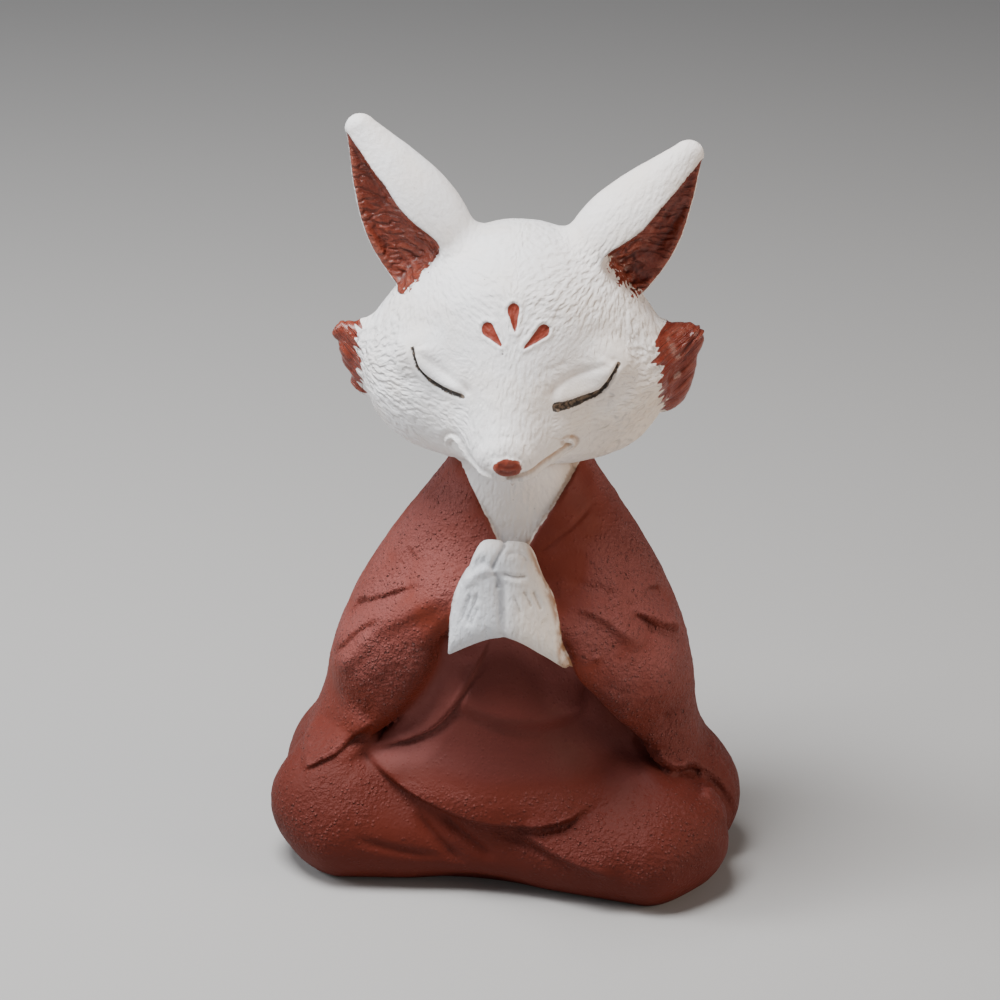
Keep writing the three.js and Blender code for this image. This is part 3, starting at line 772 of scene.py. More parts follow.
def cup_area(x, y, z):
    """The red inside of the ears, and the distance above its ragged lower end."""
    hx, hy = turned_head(x, y)
    leaf, cup = ear_leaf_and_cup(hx, hy, z)
    inside = np.where(z > 56, 0.03 - leaf - cup, -MARGIN)
    end = np.full(x.shape, -MARGIN)
    for path in CUP_PAINT_ENDS:
        side = np.sign(path[0][0])
        here = (x * side > 5) & (z > 56)
        distance, _ = Path(path).measure(x[here], z[here])
        end[here] = distance * side
    return np.clip(inside, -MARGIN, MARGIN), np.clip(end, -MARGIN, MARGIN)


def tuft_area(x, y, z):
    """The red ends of the cheek tufts."""
    area = np.full(x.shape, -MARGIN)
    for path in TUFT_PAINT_EDGES:
        side = np.sign(path[0][0])
        here = (x * side > 8) & (z > 45) & (z < 60)
        at = sorted((knot[1], knot[0]) for knot in path)
        area[here] = (x[here] - profile(at)(z[here])) * side
    return np.clip(area, -MARGIN, MARGIN)


def strand(x, z):
    """Across the strands of the cheek tufts, which bend up as they run out."""
    return z - 0.12 * np.maximum(np.abs(x) - 13, 0) ** 2


def teardrop(x, z, wide_end, tip, radius):
    dx, dz = tip[0] - wide_end[0], tip[1] - wide_end[1]
    px, pz = x - wide_end[0], z - wide_end[1]
    t = np.clip((px * dx + pz * dz) / (dx * dx + dz * dz), 0, 1)
    return np.hypot(px - t * dx, pz - t * dz) - radius * (1 - 0.85 * t)


def petal_distance(x, y, z):
    distance = np.full(x.shape, MARGIN)
    for petal in PETALS:
        distance = np.minimum(distance, teardrop(x, z, *petal))
    return np.where((y < 0) & (z > 55), distance, MARGIN)


def nose_distance(x, y, z):
    across = (x - NOSE_PAD_MIDDLE[0]) / NOSE_PAD_HALF[0]
    height = (z - NOSE_PAD_MIDDLE[1]) / NOSE_PAD_HALF[1]
    distance = (np.sqrt(across**2 + height**2 + 1e-9) - 1) * min(NOSE_PAD_HALF)
    return np.where(y < -13, np.minimum(distance, MARGIN), MARGIN)


def eye_lines(x, y, z):
    """Distance above the eye lines and half the width of the painted line there."""
    distance = np.full(x.shape, MARGIN)
    width = np.full(x.shape, -1.0)
    for near, above, along, left in passes(EYES, 2.5, -4, x, y, z):
        inner = along if left else 1 - along
        distance[near] = above
        wide = 0.16 + (0.08 if left else 0.34) * smooth_step(0.1, 0.75, inner)
        wide = wide * np.sqrt(smooth_step(1.0, 0.93, inner))
        width[near] = np.where((along <= 0.0) | (along >= 1.0), -1.0, wide)
    return distance, width


def lip_line(x, y, z):
    """Distance above the roll of the right lip, which has brown wear along it."""
    distance = np.full(x.shape, MARGIN)
    for near, above, _, _ in passes(LIPS[1:], 1.5, -6, x, y, z):
        distance[near] = above
    return distance


def paw_rim(x, y, z):
    """Distance inside the paws' outline, seen from the front."""
    inside = paws_half_width(z) - np.abs(x - paws_middle_x(z))
    return np.where((y < -9) & (z > 22) & (z < 39.5), np.clip(inside, -MARGIN, MARGIN), MARGIN)


# Fine relief, as heights along the surface's outward direction

lid_creases = creases(LID_CREASES)
nose_grooves = creases(NOSE_GROOVES)
paw_creases = creases(PAW_CREASES)
cloth_creases = creases(CLOTH_CREASES)
back_creases = creases(BACK_CREASES)


def eye_relief(x, y, z):
    height = np.zeros(x.shape)
    for near, distance, along, _ in passes(EYES, 3.5, -4, x, y, z):
        slit = -0.24 * bell(distance, 0.2)
        lid = 0.5 * smooth_step(0, 0.5, distance) * bell(np.maximum(distance - 0.5, 0), 1.2)
        rim = 0.12 * bell(distance + 0.45, 0.25)
        height[near] += (slit + lid + rim) * fade_ends(along, 0.12)
    return height


def lip_relief(x, y, z):
    height = np.zeros(x.shape)
    for near, distance, along, left in passes(LIPS, 1.5, -6, x, y, z):
        roll = 0.26 * bell(distance, 0.2)
        above = -0.18 * bell(distance - 0.45, 0.25)
        below = -0.13 * bell(distance + 0.42, 0.25)
        outer = along if left else 1 - along
        height[near] += (roll + above + below) * smooth_step(0, 0.06, outer) * (1.0 if left else 1.5)
    return height


def face_relief(x, y, z):
    height = folded(lid_creases, smooth_step(-4, -6, y), x, z)
    height += eye_relief(x, y, z) + lip_relief(x, y, z)
    pad = nose_distance(x, y, z)
    height += 0.18 * smooth_step(0.14, -0.14, pad) + folded(nose_grooves, (pad < 0.2) * 1.0, x, z)
    petal = petal_distance(x, y, z)
    return height + (0.15 * bell(petal - 0.18, 0.17) - 0.12 * smooth_step(0.06, -0.22, petal))


def tuft_relief(x, y, z):
    """Strands that run out and up from the lower cheek."""
    share = smooth_step(-1.6, 0.6, tuft_area(x, y, z))
    across = strand(x, z) + 0.25 * lumps(x, y, z, 2.0, 31) + 7 * np.sign(x)
    broad = 1 - 2 * np.abs(noise(across / 0.95, x * 0.22, y * 0.22, 33))
    fine = 1 - 2 * np.abs(noise(across / 0.45, x * 0.3, y * 0.3, 35))
    return share * (0.2 * broad + 0.07 * fine)


def cup_relief(x, y, z):
    """Crumpled clay inside the ears: folds across the cup lower down and along it higher up."""
    inside, end = cup_area(x, y, z)
    share = smooth_step(0.0, 0.5, inside) * smooth_step(-0.5, 0.3, end)
    bend = 0.55 * lumps(x, y, z, 2.6, 41)
    slant = z - 0.35 * np.abs(x) + bend
    across = 1 - np.abs(noise(x * 0.45, y * 0.7, slant * 0.8, 43)) * 2
    side = np.abs(x) * 0.85 - z * 0.5
    along = 1 - np.abs(noise(side + 0.4 * y, y * 0.8, z * 0.25 + bend * 0.4, 44)) * 2
    high = smooth_step(64, 69, z)
    fold = across * (1 - high) + along * high
    fine = 1 - np.abs(lumps(x, y, z, 0.9, 45)) * 1.4
    return share * (0.22 * fold * (1 - 0.3 * high) + 0.05 * fine)


def coarse_clay(x, y, z):
    """Where the robe's clay is coarse: 1 there, and 0 where it is rubbed smooth."""
    front = np.zeros(x.shape)
    for middle_x, middle_z, reach_x, reach_z, amount in GRITTY_PATCHES:
        squared = ((x - middle_x) / reach_x) ** 2 + ((z - middle_z) / reach_z) ** 2
        front = np.maximum(front, amount * np.exp(-squared * squared * 0.7))
    patches = 0.35 + 0.6 * smooth_step(-0.15, 0.25, lumps(x, y, z, 7.0, 91))
    here = smooth_step(0, -3, y)
    share = front * here + patches * (1 - here)
    gritty = np.clip(share + 0.35 * lumps(x, y, z, 2.5, 93), 0.0, 1.0)
    return gritty * (1 - smooth_step(-0.4, 0.6, recess_depth(x, y, z)))


def cloth_relief(x, y, z):
    """Folds and lumps of the robe, with the grain of its clay."""
    front = folded(cloth_creases, smooth_step(0, -3, y), x, z)
    back = folded(back_creases, smooth_step(3, 7, y), x, z)
    squared = ((x - ARM_LUMP[0]) ** 2 + (z - ARM_LUMP[1]) ** 2) / ARM_LUMP_RADIUS**2
    lump = ARM_LUMP_HEIGHT * np.exp(-squared) * (y < 0)
    fine = (0.015 + 0.05 * coarse_clay(x, y, z)) * lumps(x, y, z, 0.9, 63)
    return front + back + lump + (0.045 * lumps(x, y, z, 2.6, 61) + fine)


def fur_share(x, y, z):
    """How deeply the fur is carved: most on the cheeks and by the ears, least on the lids and the ears."""
    hx, hy = turned_head(x, y)
    side = np.abs(hx)
    share = 0.42 + 0.58 * smooth_step(7.5, 11, side) * smooth_step(61, 57, z)
    share += 0.3 * smooth_step(58, 61, z) * smooth_step(-1, 5, hx)
    share *= 1 - 0.65 * smooth_step(1.0, 0.2, only(z > 58, ear, hx, hy, z)) * smooth_step(64, 67, z)
    lid = np.exp(-(((side - 7.2) / 2.8) ** 2) - ((z - 54.9) / 1.5) ** 2) * (y < 0)
    brow = np.exp(-(((side - 5.0) / 4.0) ** 2) - ((z - 57.6) / 1.8) ** 2) * (y < 0)
    share *= (1 - 0.9 * lid) * (1 - 0.6 * brow)
    share *= 1 - 0.3 * smooth_step(44.5, 43, z)
    return np.clip(share, 0, 1)


def fine_relief(x, y, z):
    white = smooth_step(-0.15, 0.15, white_area(x, y, z))
    cup = smooth_step(-0.2, 0.2, np.minimum(*cup_area(x, y, z)))
    red = np.maximum(cup, smooth_step(-0.2, 0.2, tuft_area(x, y, z)))
    height = np.where(z > 44, only(z > 44, face_relief, x, y, z), 0)
    height += np.where(z > 46, tuft_relief(x, y, z) + cup_relief(x, y, z), 0)
    on_paws = smooth_step(0.5, 0.2, joined_paws(x, y, z))
    height += folded(paw_creases, on_paws * (white > 0.5), x, z)
    height += (1 - white) * cloth_relief(x, y, z)
    calm = np.maximum(red, smooth_step(1.6, 1.0, np.abs(eye_lines(x, y, z)[0] - 0.6)))
    furred = FUR_DEPTH * fur(x, y, z, 71) * fur_share(x, y, z)
    height += white * (1 - calm) * (furred + 0.03 * lumps(x, y, z, 2.2, 81))
    return height * smooth_step(0.3, 1.2, z)


# The fine mesh

ROUGH_SIZE = 0.4
EVEN_SIZE = 0.2
TRIANGLE_BUDGET = 194000
WEIGHT_LEVELS = 40


def scaling(factor):
    return Matrix.Diagonal((factor,) * 3).to_4x4()


def link(thing):
    bpy.context.scene.collection.objects.link(thing)
    return thing


def arrays(mesh):
    """Points and faces of a mesh, as rows of coordinates and of corner numbers."""
    points = np.empty(len(mesh.vertices) * 3)
    mesh.vertices.foreach_get("co", points)
    mesh.calc_loop_triangles()
    faces = np.empty(len(mesh.loop_triangles) * 3, np.int64)
    mesh.loop_triangles.foreach_get("vertices", faces)
    return points.reshape(-1, 3), faces.reshape(-1, 3)


def move_points(mesh, points):
    mesh.vertices.foreach_set("co", points.ravel())
    mesh.update()


def outward(points, faces):
    """The surface's outward direction at each point."""
    a, b, c = (points[faces[:, i]] for i in range(3))
    across = np.cross(b - a, c - a)
    total = np.zeros(points.shape)
    for corner in range(3):
        for axis in range(3):
            total[:, axis] += np.bincount(faces[:, corner], across[:, axis], len(points))
    return total / np.maximum(np.linalg.norm(total, axis=1, keepdims=True), 1e-12)


def field_slope(points, step=0.05):
    """The figure's form at each point, and how it changes along each axis."""
    here = figure(*points.T)
    slope = np.empty(points.shape)
    for axis in range(3):
        moved = points.copy()
        moved[:, axis] += step
        slope[:, axis] = (figure(*moved.T) - here) / step
    return here, slope


def solid_offset(solid):
    """Where the solid's origin lies in the forms' own frame, in millimetres."""
    points, _ = arrays(solid.data)
    points = points / MILLIMETRE
    points = points[(points[:, 2] > 2) & (points[:, 2] < 60)]
    offset = np.zeros(3)
    for _ in range(6):
        value, slope = field_slope(points + offset)
        near = np.abs(value) < 3
        step, *_ = np.linalg.lstsq(slope[near][:, :2], -value[near], rcond=None)
        offset[:2] += step
    return offset


def evaluated(name, mesh, kind, settings, weights=None):
    """A mesh as one modifier leaves it."""
    thing = link(bpy.data.objects.new(name, mesh))
    if weights is not None:
        group = thing.vertex_groups.new(name="keep")
        levels = np.round(weights * WEIGHT_LEVELS).astype(int)
        for level in np.unique(levels):
            group.add(np.flatnonzero(levels == level).tolist(), level / WEIGHT_LEVELS, "REPLACE")
    modifier = thing.modifiers.new(name, kind)
    for key, setting in settings.items():
        setattr(modifier, key, setting)
    graph = bpy.context.evaluated_depsgraph_get()
    result = bpy.data.meshes.new_from_object(thing.evaluated_get(graph), depsgraph=graph)
    bpy.data.objects.remove(thing)
    return result


def relaxed(points, faces, rounds):
    """Points moved towards the middle of the points around them."""
    start, end = np.concatenate([faces[:, (0, 1)], faces[:, (1, 2)], faces[:, (2, 0)]]).T
    count = np.maximum(np.bincount(start, minlength=len(points)), 1)
    for _ in range(rounds):
        around = np.stack([np.bincount(start, axis[end], len(points)) for axis in points.T], 1)
        points = 0.5 * points + 0.5 * around / count[:, None]
    return points


def pressed(mesh, size, rounds):
    """The mesh with even faces and with its points moved the shortest way onto the figure's form."""
    even = evaluated("even", mesh, "REMESH", dict(mode="VOXEL", voxel_size=size))
    points, faces = arrays(even)
    for turn in range(rounds):
        value, slope = field_slope(points)
        steepness = np.maximum((slope**2).sum(axis=1), 0.3)
        points = points - slope * (np.clip(value, -0.6, 0.6) / steepness)[:, None]
        if turn < rounds - 1:
            points = relaxed(points, faces, 1)
    move_points(even, points)
    return even


def edge_size(x, y, z):
    """How far apart the fine mesh's points lie, in millimetres."""
    front = smooth_step(2, -1, y)
    on_head = smooth_step(43, 46, z)
    face = on_head * smooth_step(-4, -8, y) * smooth_step(62.5, 60, z)
    size = 0.5 - front * 0.16 - on_head * front * 0.10 - face * 0.03 - near_paws(x, y, z) * 0.1
    return np.where(z < 0.15, 2.0, np.maximum(size, 0.2))


def clay_mesh(solid, offset):
    rough = solid.data.copy()
    rough.transform(Matrix.Translation(offset) @ scaling(1 / MILLIMETRE))
    even = pressed(pressed(rough, ROUGH_SIZE, 5), EVEN_SIZE, 2)
    points, faces = arrays(even)
    points = points + outward(points, faces) * fine_relief(*points.T)[:, None]
    points[:, 2] = np.maximum(points[:, 2], 0)
    move_points(even, points)
    weights = np.clip(1 - 0.36 / (2 * edge_size(*points.T)), 0, 1)
    settings = dict(ratio=TRIANGLE_BUDGET / len(faces), vertex_group="keep", vertex_group_factor=0.05)
    return evaluated("thin", even, "DECIMATE", settings, weights)


def share_attributes(mesh):
    """What the paint needs to know at each point, in millimetres of the forms' own frame."""
    points, faces = arrays(mesh)
    direction = outward(points, faces)
    x, y, z = points.T
    eye_distance, eye_width = eye_lines(x, y, z)
    cup, cup_end = cup_area(x, y, z)
    # How far each point lies in a groove, how enclosed it is and which way it faces: the paint uses these
    # for painted shade, highlights and sheen
    smooth = relaxed(points, faces, 3)
    hollow = [np.clip(1 - figure(*(points + direction * reach).T) / reach, 0, 1) for reach in (1.0, 3.5)]
    values = dict(
        white=white_area(x, y, z),
        cup=cup,
        cup_end=cup_end,
        strand=strand(x, z),
        tuft=tuft_area(x, y, z),
        petal=petal_distance(x, y, z),
        nose=nose_distance(x, y, z),
        lip=lip_line(x, y, z),
        rim=paw_rim(x, y, z),
        eye=eye_distance,
        eye_width=eye_width,
        groove=((smooth - points) * direction).sum(axis=1),
        hollow=hollow[0],
        deep=hollow[1],
        recess=recess_depth(x, y, z),
        fur=fur_share(x, y, z) * (1 - 0.85 * smooth_step(1.5, 0.9, np.abs(eye_distance - 0.5))),
        coarse=coarse_clay(x, y, z),
        up=direction[:, 2],
        height=z,
    )
    for name, value in values.items():
        mesh.attributes.new(name, "FLOAT", "POINT").data.foreach_set("value", value.astype(np.float32))
    run = np.stack([*fur_run(x, y, z), np.zeros(len(x))], 1).astype(np.float32)
    mesh.attributes.new("run", "FLOAT_VECTOR", "POINT").data.foreach_set("vector", run.ravel())


# Paint


class Value:
    """A number worked out by a material's nodes, with sums and products written as usual."""

    def __init__(self, paint, socket):
        self.paint = paint
        self.socket = socket

    def __add__(self, other):
        return self.paint.math("ADD", self, other)

    def __mul__(self, other):
        return self.paint.math("MULTIPLY", self, other)

    def __sub__(self, other):
        return self.paint.math("SUBTRACT", self, other)

    def __rsub__(self, other):
        return self.paint.math("SUBTRACT", other, self)

    def __abs__(self):
        return self.paint.math("ABSOLUTE", self)

    __radd__ = __add__
    __rmul__ = __mul__


class Paint:
    """A material's nodes, made by short calls. A source may be given by its attribute's name."""

    def __init__(self, name):
        self.material = bpy.data.materials.new(name)
        self.material.use_nodes = True
        self.tree = self.material.node_tree
        self.shader = self.tree.nodes["Principled BSDF"]
        self.place = self.vector("SCALE", self.node("ShaderNodeTexCoord").outputs["Object"], 1 / MILLIMETRE)
        axes = self.node("ShaderNodeSeparateXYZ", self.place).outputs
        self.x, self.y, self.z = (Value(self, axis) for axis in axes)

    def node(self, kind, *sources, **settings):
        made = self.tree.nodes.new(kind)
        for key, setting in settings.items():
            setattr(made, key, setting)
        for source, socket in zip(sources, made.inputs):
            self.plug(source, socket)
        return made

    def plug(self, source, socket):
        if isinstance(source, str):
            source = self.attribute(source)
        if isinstance(source, Value):
            source = source.socket
        if isinstance(source, tuple):
            socket.default_value = (*source, 1.0) if len(socket.default_value) == 4 else source
        elif isinstance(source, (int, float)):
            socket.default_value = source
        else:
            self.tree.links.new(source, socket)

    def plug_all(self, node, sources):
        for name, source in sources.items():
            self.plug(source, node.inputs[name])
        return node.outputs

    def math(self, operation, *sources):
        return Value(self, self.node("ShaderNodeMath", *sources, operation=operation).outputs[0])

    def most(self, first, *others):
        for other in others:
            first = self.math("MAXIMUM", first, other)
        return first

    def vector(self, operation, source, amount):
        made = self.node("ShaderNodeVectorMath", source, operation=operation)
        self.plug(amount, made.inputs["Scale" if operation == "SCALE" else 1])
        return made.outputs[0]

    def dot(self, source, direction):
        made = self.node("ShaderNodeVectorMath", source, direction, operation="DOT_PRODUCT")
        return Value(self, made.outputs[1])

    def point(self, *axes):
        return self.node("ShaderNodeCombineXYZ", *axes).outputs[0]

    def attribute(self, name, output="Fac"):
        return Value(self, self.node("ShaderNodeAttribute", attribute_name=name).outputs[output])

    def step(self, source, low, high, bottom=0.0, top=1.0):
        ends = (source, low, high, bottom, top)
        made = self.node("ShaderNodeMapRange", *ends, interpolation_type="SMOOTHSTEP")
        return Value(self, made.outputs["Result"])

    def area(self, name, jitter, amount, low=-0.04, high=0.04):
        """A painted area with a slightly uneven edge."""
        return self.step(self.attribute(name) + jitter * amount, low, high)

    def noise(self, size, detail=2.0, roughness=0.5, place=None, shift=0.0):
        """Noise about 0.5, with lumps about the given number of millimetres across."""
        moved = self.vector("ADD", place or self.place, (shift, 1.7 * shift, 0.6 * shift))
        sources = dict(Scale=1 / size, Detail=detail, Roughness=roughness)
        return Value(self, self.plug_all(self.node("ShaderNodeTexNoise", moved), sources)["Fac"])

    def cells(self, size, shift=0.0):
        """Distance from scattered points, from 0 at a point, with a random number for each."""
        moved = self.vector("ADD", self.place, (shift, shift, shift))
        made = self.plug_all(self.node("ShaderNodeTexVoronoi", moved), dict(Scale=1 / size))
        number = self.node("ShaderNodeSeparateColor", made["Color"]).outputs[0]
        return Value(self, made["Distance"]), Value(self, number)

    def specks(self, size, share, radius, shift=0.0):
        """Scattered specks: 1 inside them. Share is how many of the cells hold one."""
        distance, number = self.cells(size, shift)
        return self.step(distance, radius, radius * 0.5) * self.math("LESS_THAN", number, share)

    def layers(self, colour, *layers):
        """A colour with others over it in turn, each with the share that it covers."""
        for share, layer in layers:
            made = self.node("ShaderNodeMix", share, data_type="RGBA")
            self.plug(colour, made.inputs[6])
            self.plug(layer, made.inputs[7])
            colour = made.outputs[2]
        return colour


CLAY_RED = (0.125, 0.021, 0.0125)
# Pink for painted sheen and highlights on the clay
CLAY_LIT_PINK = (0.230, 0.066, 0.056)
CLAY_ORANGE = (0.150, 0.021, 0.0085)
# Mauve for painted cool shade in the hollow under the sleeves
CLAY_SHADE_MAUVE = (0.100, 0.024, 0.020)
# Darker red for painted shade low on the robe
CLAY_LOW_SHADE = (0.082, 0.0095, 0.0036)
CLAY_DARK = (0.030, 0.0065, 0.0045)
CLAY_GRAIN = (0.360, 0.130, 0.110)
PAINT_WHITE = (0.84, 0.82, 0.82)
PAINT_CREAM = (0.76, 0.64, 0.52)
# Cool grey for painted shade on the left paw
PAINT_COOL_SHADE = (0.50, 0.53, 0.58)
SPECK = (0.10, 0.07, 0.06)
WEAR_BROWN = (0.32, 0.15, 0.065)
# Grey for painted shade in the white paint's grooves and hollows
GROOVE_SHADE_GREY = (0.36, 0.31, 0.28)
GROOVE_BROWN = (0.36, 0.20, 0.10)
PAINT_RED = (0.185, 0.026, 0.0125)
PAINT_RED_LIGHT = (0.290, 0.075, 0.045)
# Dark red for painted shade in the red paint's creases
PAINT_RED_SHADE = (0.060, 0.008, 0.004)
PETAL_RED = (0.215, 0.036, 0.021)
LINE_DARK = (0.016, 0.011, 0.009)
LINE_BROWN = (0.190, 0.135, 0.095)

# Sizes of the clay's grains, its pits and its fine fur, and the heights of the bumps, in millimetres
GRAIN_SIZE = 0.42
PIT_SIZE = 0.7
PIT_SHARE = 0.08
FINE_FUR_PITCH = 0.36
GRAIN_HEIGHT = 0.28
GRIT_HEIGHT = 0.42
PIT_HEIGHT = -0.16
FINE_FUR_HEIGHT = 0.17
DAUB_HEIGHT = 0.07
CRUMPLE_HEIGHT = 0.24
STRAND_HEIGHT = 0.14
RED_DAUB_HEIGHT = 0.10


# The robe's own tones, grains and pits, with painted sheen on upward faces and crests, and painted shade
# low down, in creases and in the hollow under the sleeves
def robe_colour(paint, grains, pits, coarse):
    cloud = paint.step(paint.noise(6.0, shift=3.0), 0.38, 0.62)
    up = paint.step("up", -0.35, 0.55)
    high = paint.step("height", 8.0, 26.0, 0.15, 1.0)
    recess = paint.step("recess", -0.2, 1.6)
    ridge = paint.step("groove", -0.012, -0.06)
    return paint.layers(
        CLAY_RED,
        ((1.0 - coarse) * (0.35 + cloud), CLAY_ORANGE),
        # Darker towards the bottom: painted shade, where less light reaches the lap and knees
        (paint.step("height", 21.0, 10.0) * 0.9, CLAY_LOW_SHADE),
        # Upward faces higher up in pink: painted sheen of the light from above, stronger on coarse clay
        (up * high * (0.1 + coarse * 0.9 + cloud * 0.12), CLAY_LIT_PINK),
        # The hollow under the sleeves in mauve: painted cool shade
        (recess * 0.75, CLAY_SHADE_MAUVE),
        # Its most enclosed points lighter and pinker: painted fill light
        (recess * paint.step("deep", 0.25, 0.8) * 0.7, CLAY_LIT_PINK),
        (coarse * (1.0 - grains) * 0.12, CLAY_DARK),
        # Crests of coarse clay in pink, most where they face up: painted highlight
        (ridge * coarse * (0.15 + up) * 0.45, CLAY_LIT_PINK),
        # Darker in the creases: painted shade
        (paint.step("groove", 0.02, 0.11) * 0.45, CLAY_DARK),
        (pits * 0.75, CLAY_DARK),
        (grains * coarse * 0.45, CLAY_GRAIN),
    )


# The white paint with its wear, stains and specks, and painted warm light, painted cool shade and painted
# shade in grooves and hollows
def white_colour(paint):
    warm = paint.step(paint.x, -6.0, 13.0)
    low = paint.step(paint.z, 60.0, 46.0)
    cloud = paint.step(paint.noise(5.0, shift=13.0), 0.35, 0.7)
    worn = paint.step(paint.noise(1.5, 3.0, shift=23.0), 0.38, 0.6)
    # Grey painted shade in the grooves, with a brown stain in them on the right
    groove_shade_and_stain = paint.layers(GROOVE_SHADE_GREY, (paint.step(paint.x, 0.5, 3.5), GROOVE_BROWN))
    on_paws = paint.step(paint.z, 39.0, 36.0)
    right = paint.step(paint.x, -1.0, 2.5)
    edge_wear = paint.step("white", 0.8, 0.0) * worn * (0.07 + on_paws * (0.25 + right * 0.6))
    above_lip = paint.step(abs(paint.attribute("lip") - 0.38), 0.32, 0.05)
    below_lip = paint.step(abs(paint.attribute("lip") + 0.42), 0.3, 0.05)
    dots = paint.specks(0.75, 0.4, 0.09, shift=19.0) * paint.step(paint.z, 46.0, 42.0)
    return paint.layers(
        PAINT_WHITE,
        # Cream towards the right and lower on the face: painted warm light, with cream patches at random
        (warm * (0.2 + low * 0.5) + cloud * 0.25, PAINT_CREAM),
        # Darker in the grooves: painted shade, with a stain on the right
        (paint.step("groove", 0.01, 0.07) * 0.6, groove_shade_and_stain),
        # Greyer where the surface is enclosed: painted shade
        (paint.step("hollow", 0.2, 0.9) * 0.4, GROOVE_SHADE_GREY),
        # The paws cream on the right and cool grey on the left: painted warm light and painted cool shade
        (on_paws * right * 0.45, PAINT_CREAM),
        (on_paws * (1.0 - right) * 0.6, PAINT_COOL_SHADE),
        (edge_wear, WEAR_BROWN),
        (paint.step("rim", 0.42, 0.0) * right * worn * 0.7, WEAR_BROWN),
        (paint.most(above_lip, below_lip) * 0.5, GROOVE_BROWN),
        (dots * 0.45, SPECK),
        (paint.specks(2.6, 0.3, 0.05, shift=17.0) * 0.8, SPECK),
    )


# The red paint's own tones, with painted highlights on ridges, painted light in the ear cups and painted
# shade in creases
def red_colour(paint, cup, wrinkles):
    cloud = paint.step(paint.noise(1.1, 3.0, shift=33.0), 0.4, 0.7)
    ridge = paint.step("groove", 0.0, -0.05)
    return paint.layers(
        PAINT_RED,
        # Paler red in random patches, with painted highlights on ridges and painted light inside the ear
        # cups
        (cloud * 0.25 + ridge * 0.5 + cup * 0.3, PAINT_RED_LIGHT),
        # Darker in the creases and in the grooves of the crumpled cups: painted shade
        (paint.step("groove", 0.01, 0.08) * 0.6, PAINT_RED_SHADE),
        (cup * (1.0 - wrinkles) * 0.22, PAINT_RED_SHADE),
    )


def fine_fur(paint):
    """Carved strokes along the run of the fur, about 0."""
    run = paint.attribute("run", "Vector")
    total = 0.0
    for i, c, s, double_c, double_s in fur_bins():
        closeness = paint.dot(run, (2 * double_c, 2 * double_s, 0.0))
        along = paint.dot(paint.place, (c / FUR_STRETCH, 0.0, s / FUR_STRETCH))
        across = paint.dot(paint.place, (-s, 0.0, c))
        turned = paint.point(along, paint.y * 0.35, across)
        wave = paint.noise(FINE_FUR_PITCH, 0.5, 0.5, turned, shift=11.0 * i)
        total += paint.most(closeness - 1.0, 0.0) * paint.step(wave, 0.3, 0.66, -0.5, 0.5)
    return total


def robe_grain(paint, coarse):
    """The clay's grit, its grains and its pits."""
    grit = paint.noise(GRAIN_SIZE, 2.0, 0.6, shift=61.0)
    distance, number = paint.cells(GRAIN_SIZE, shift=3.0)
    grains = paint.step(distance, 0.46, 0.08) * paint.step(number, 0.1, 0.9)
    distance, number = paint.cells(PIT_SIZE, shift=9.0)
    share = paint.math("LESS_THAN", number, PIT_SHARE) * (0.05 + coarse)
    return grit, grains, paint.step(distance + (grit - 0.5) * 0.9, 0.24, 0.08) * share


def eye_paint(paint):
    """Where the eye line is painted, and its colour, which is drier in its middle."""
    brush = paint.noise(0.4, 3.0, shift=53.0) - 0.5
    room = paint.attribute("eye_width") - abs(paint.attribute("eye"))
    middle = paint.step(room, 0.18, 0.34) * paint.step(brush, -0.12, 0.04)
    dry = paint.most(paint.step(brush, 0.02, 0.14), middle)
    return paint.step(room + brush * 0.45, -0.04, 0.05), paint.layers(LINE_DARK, (dry, LINE_BROWN))


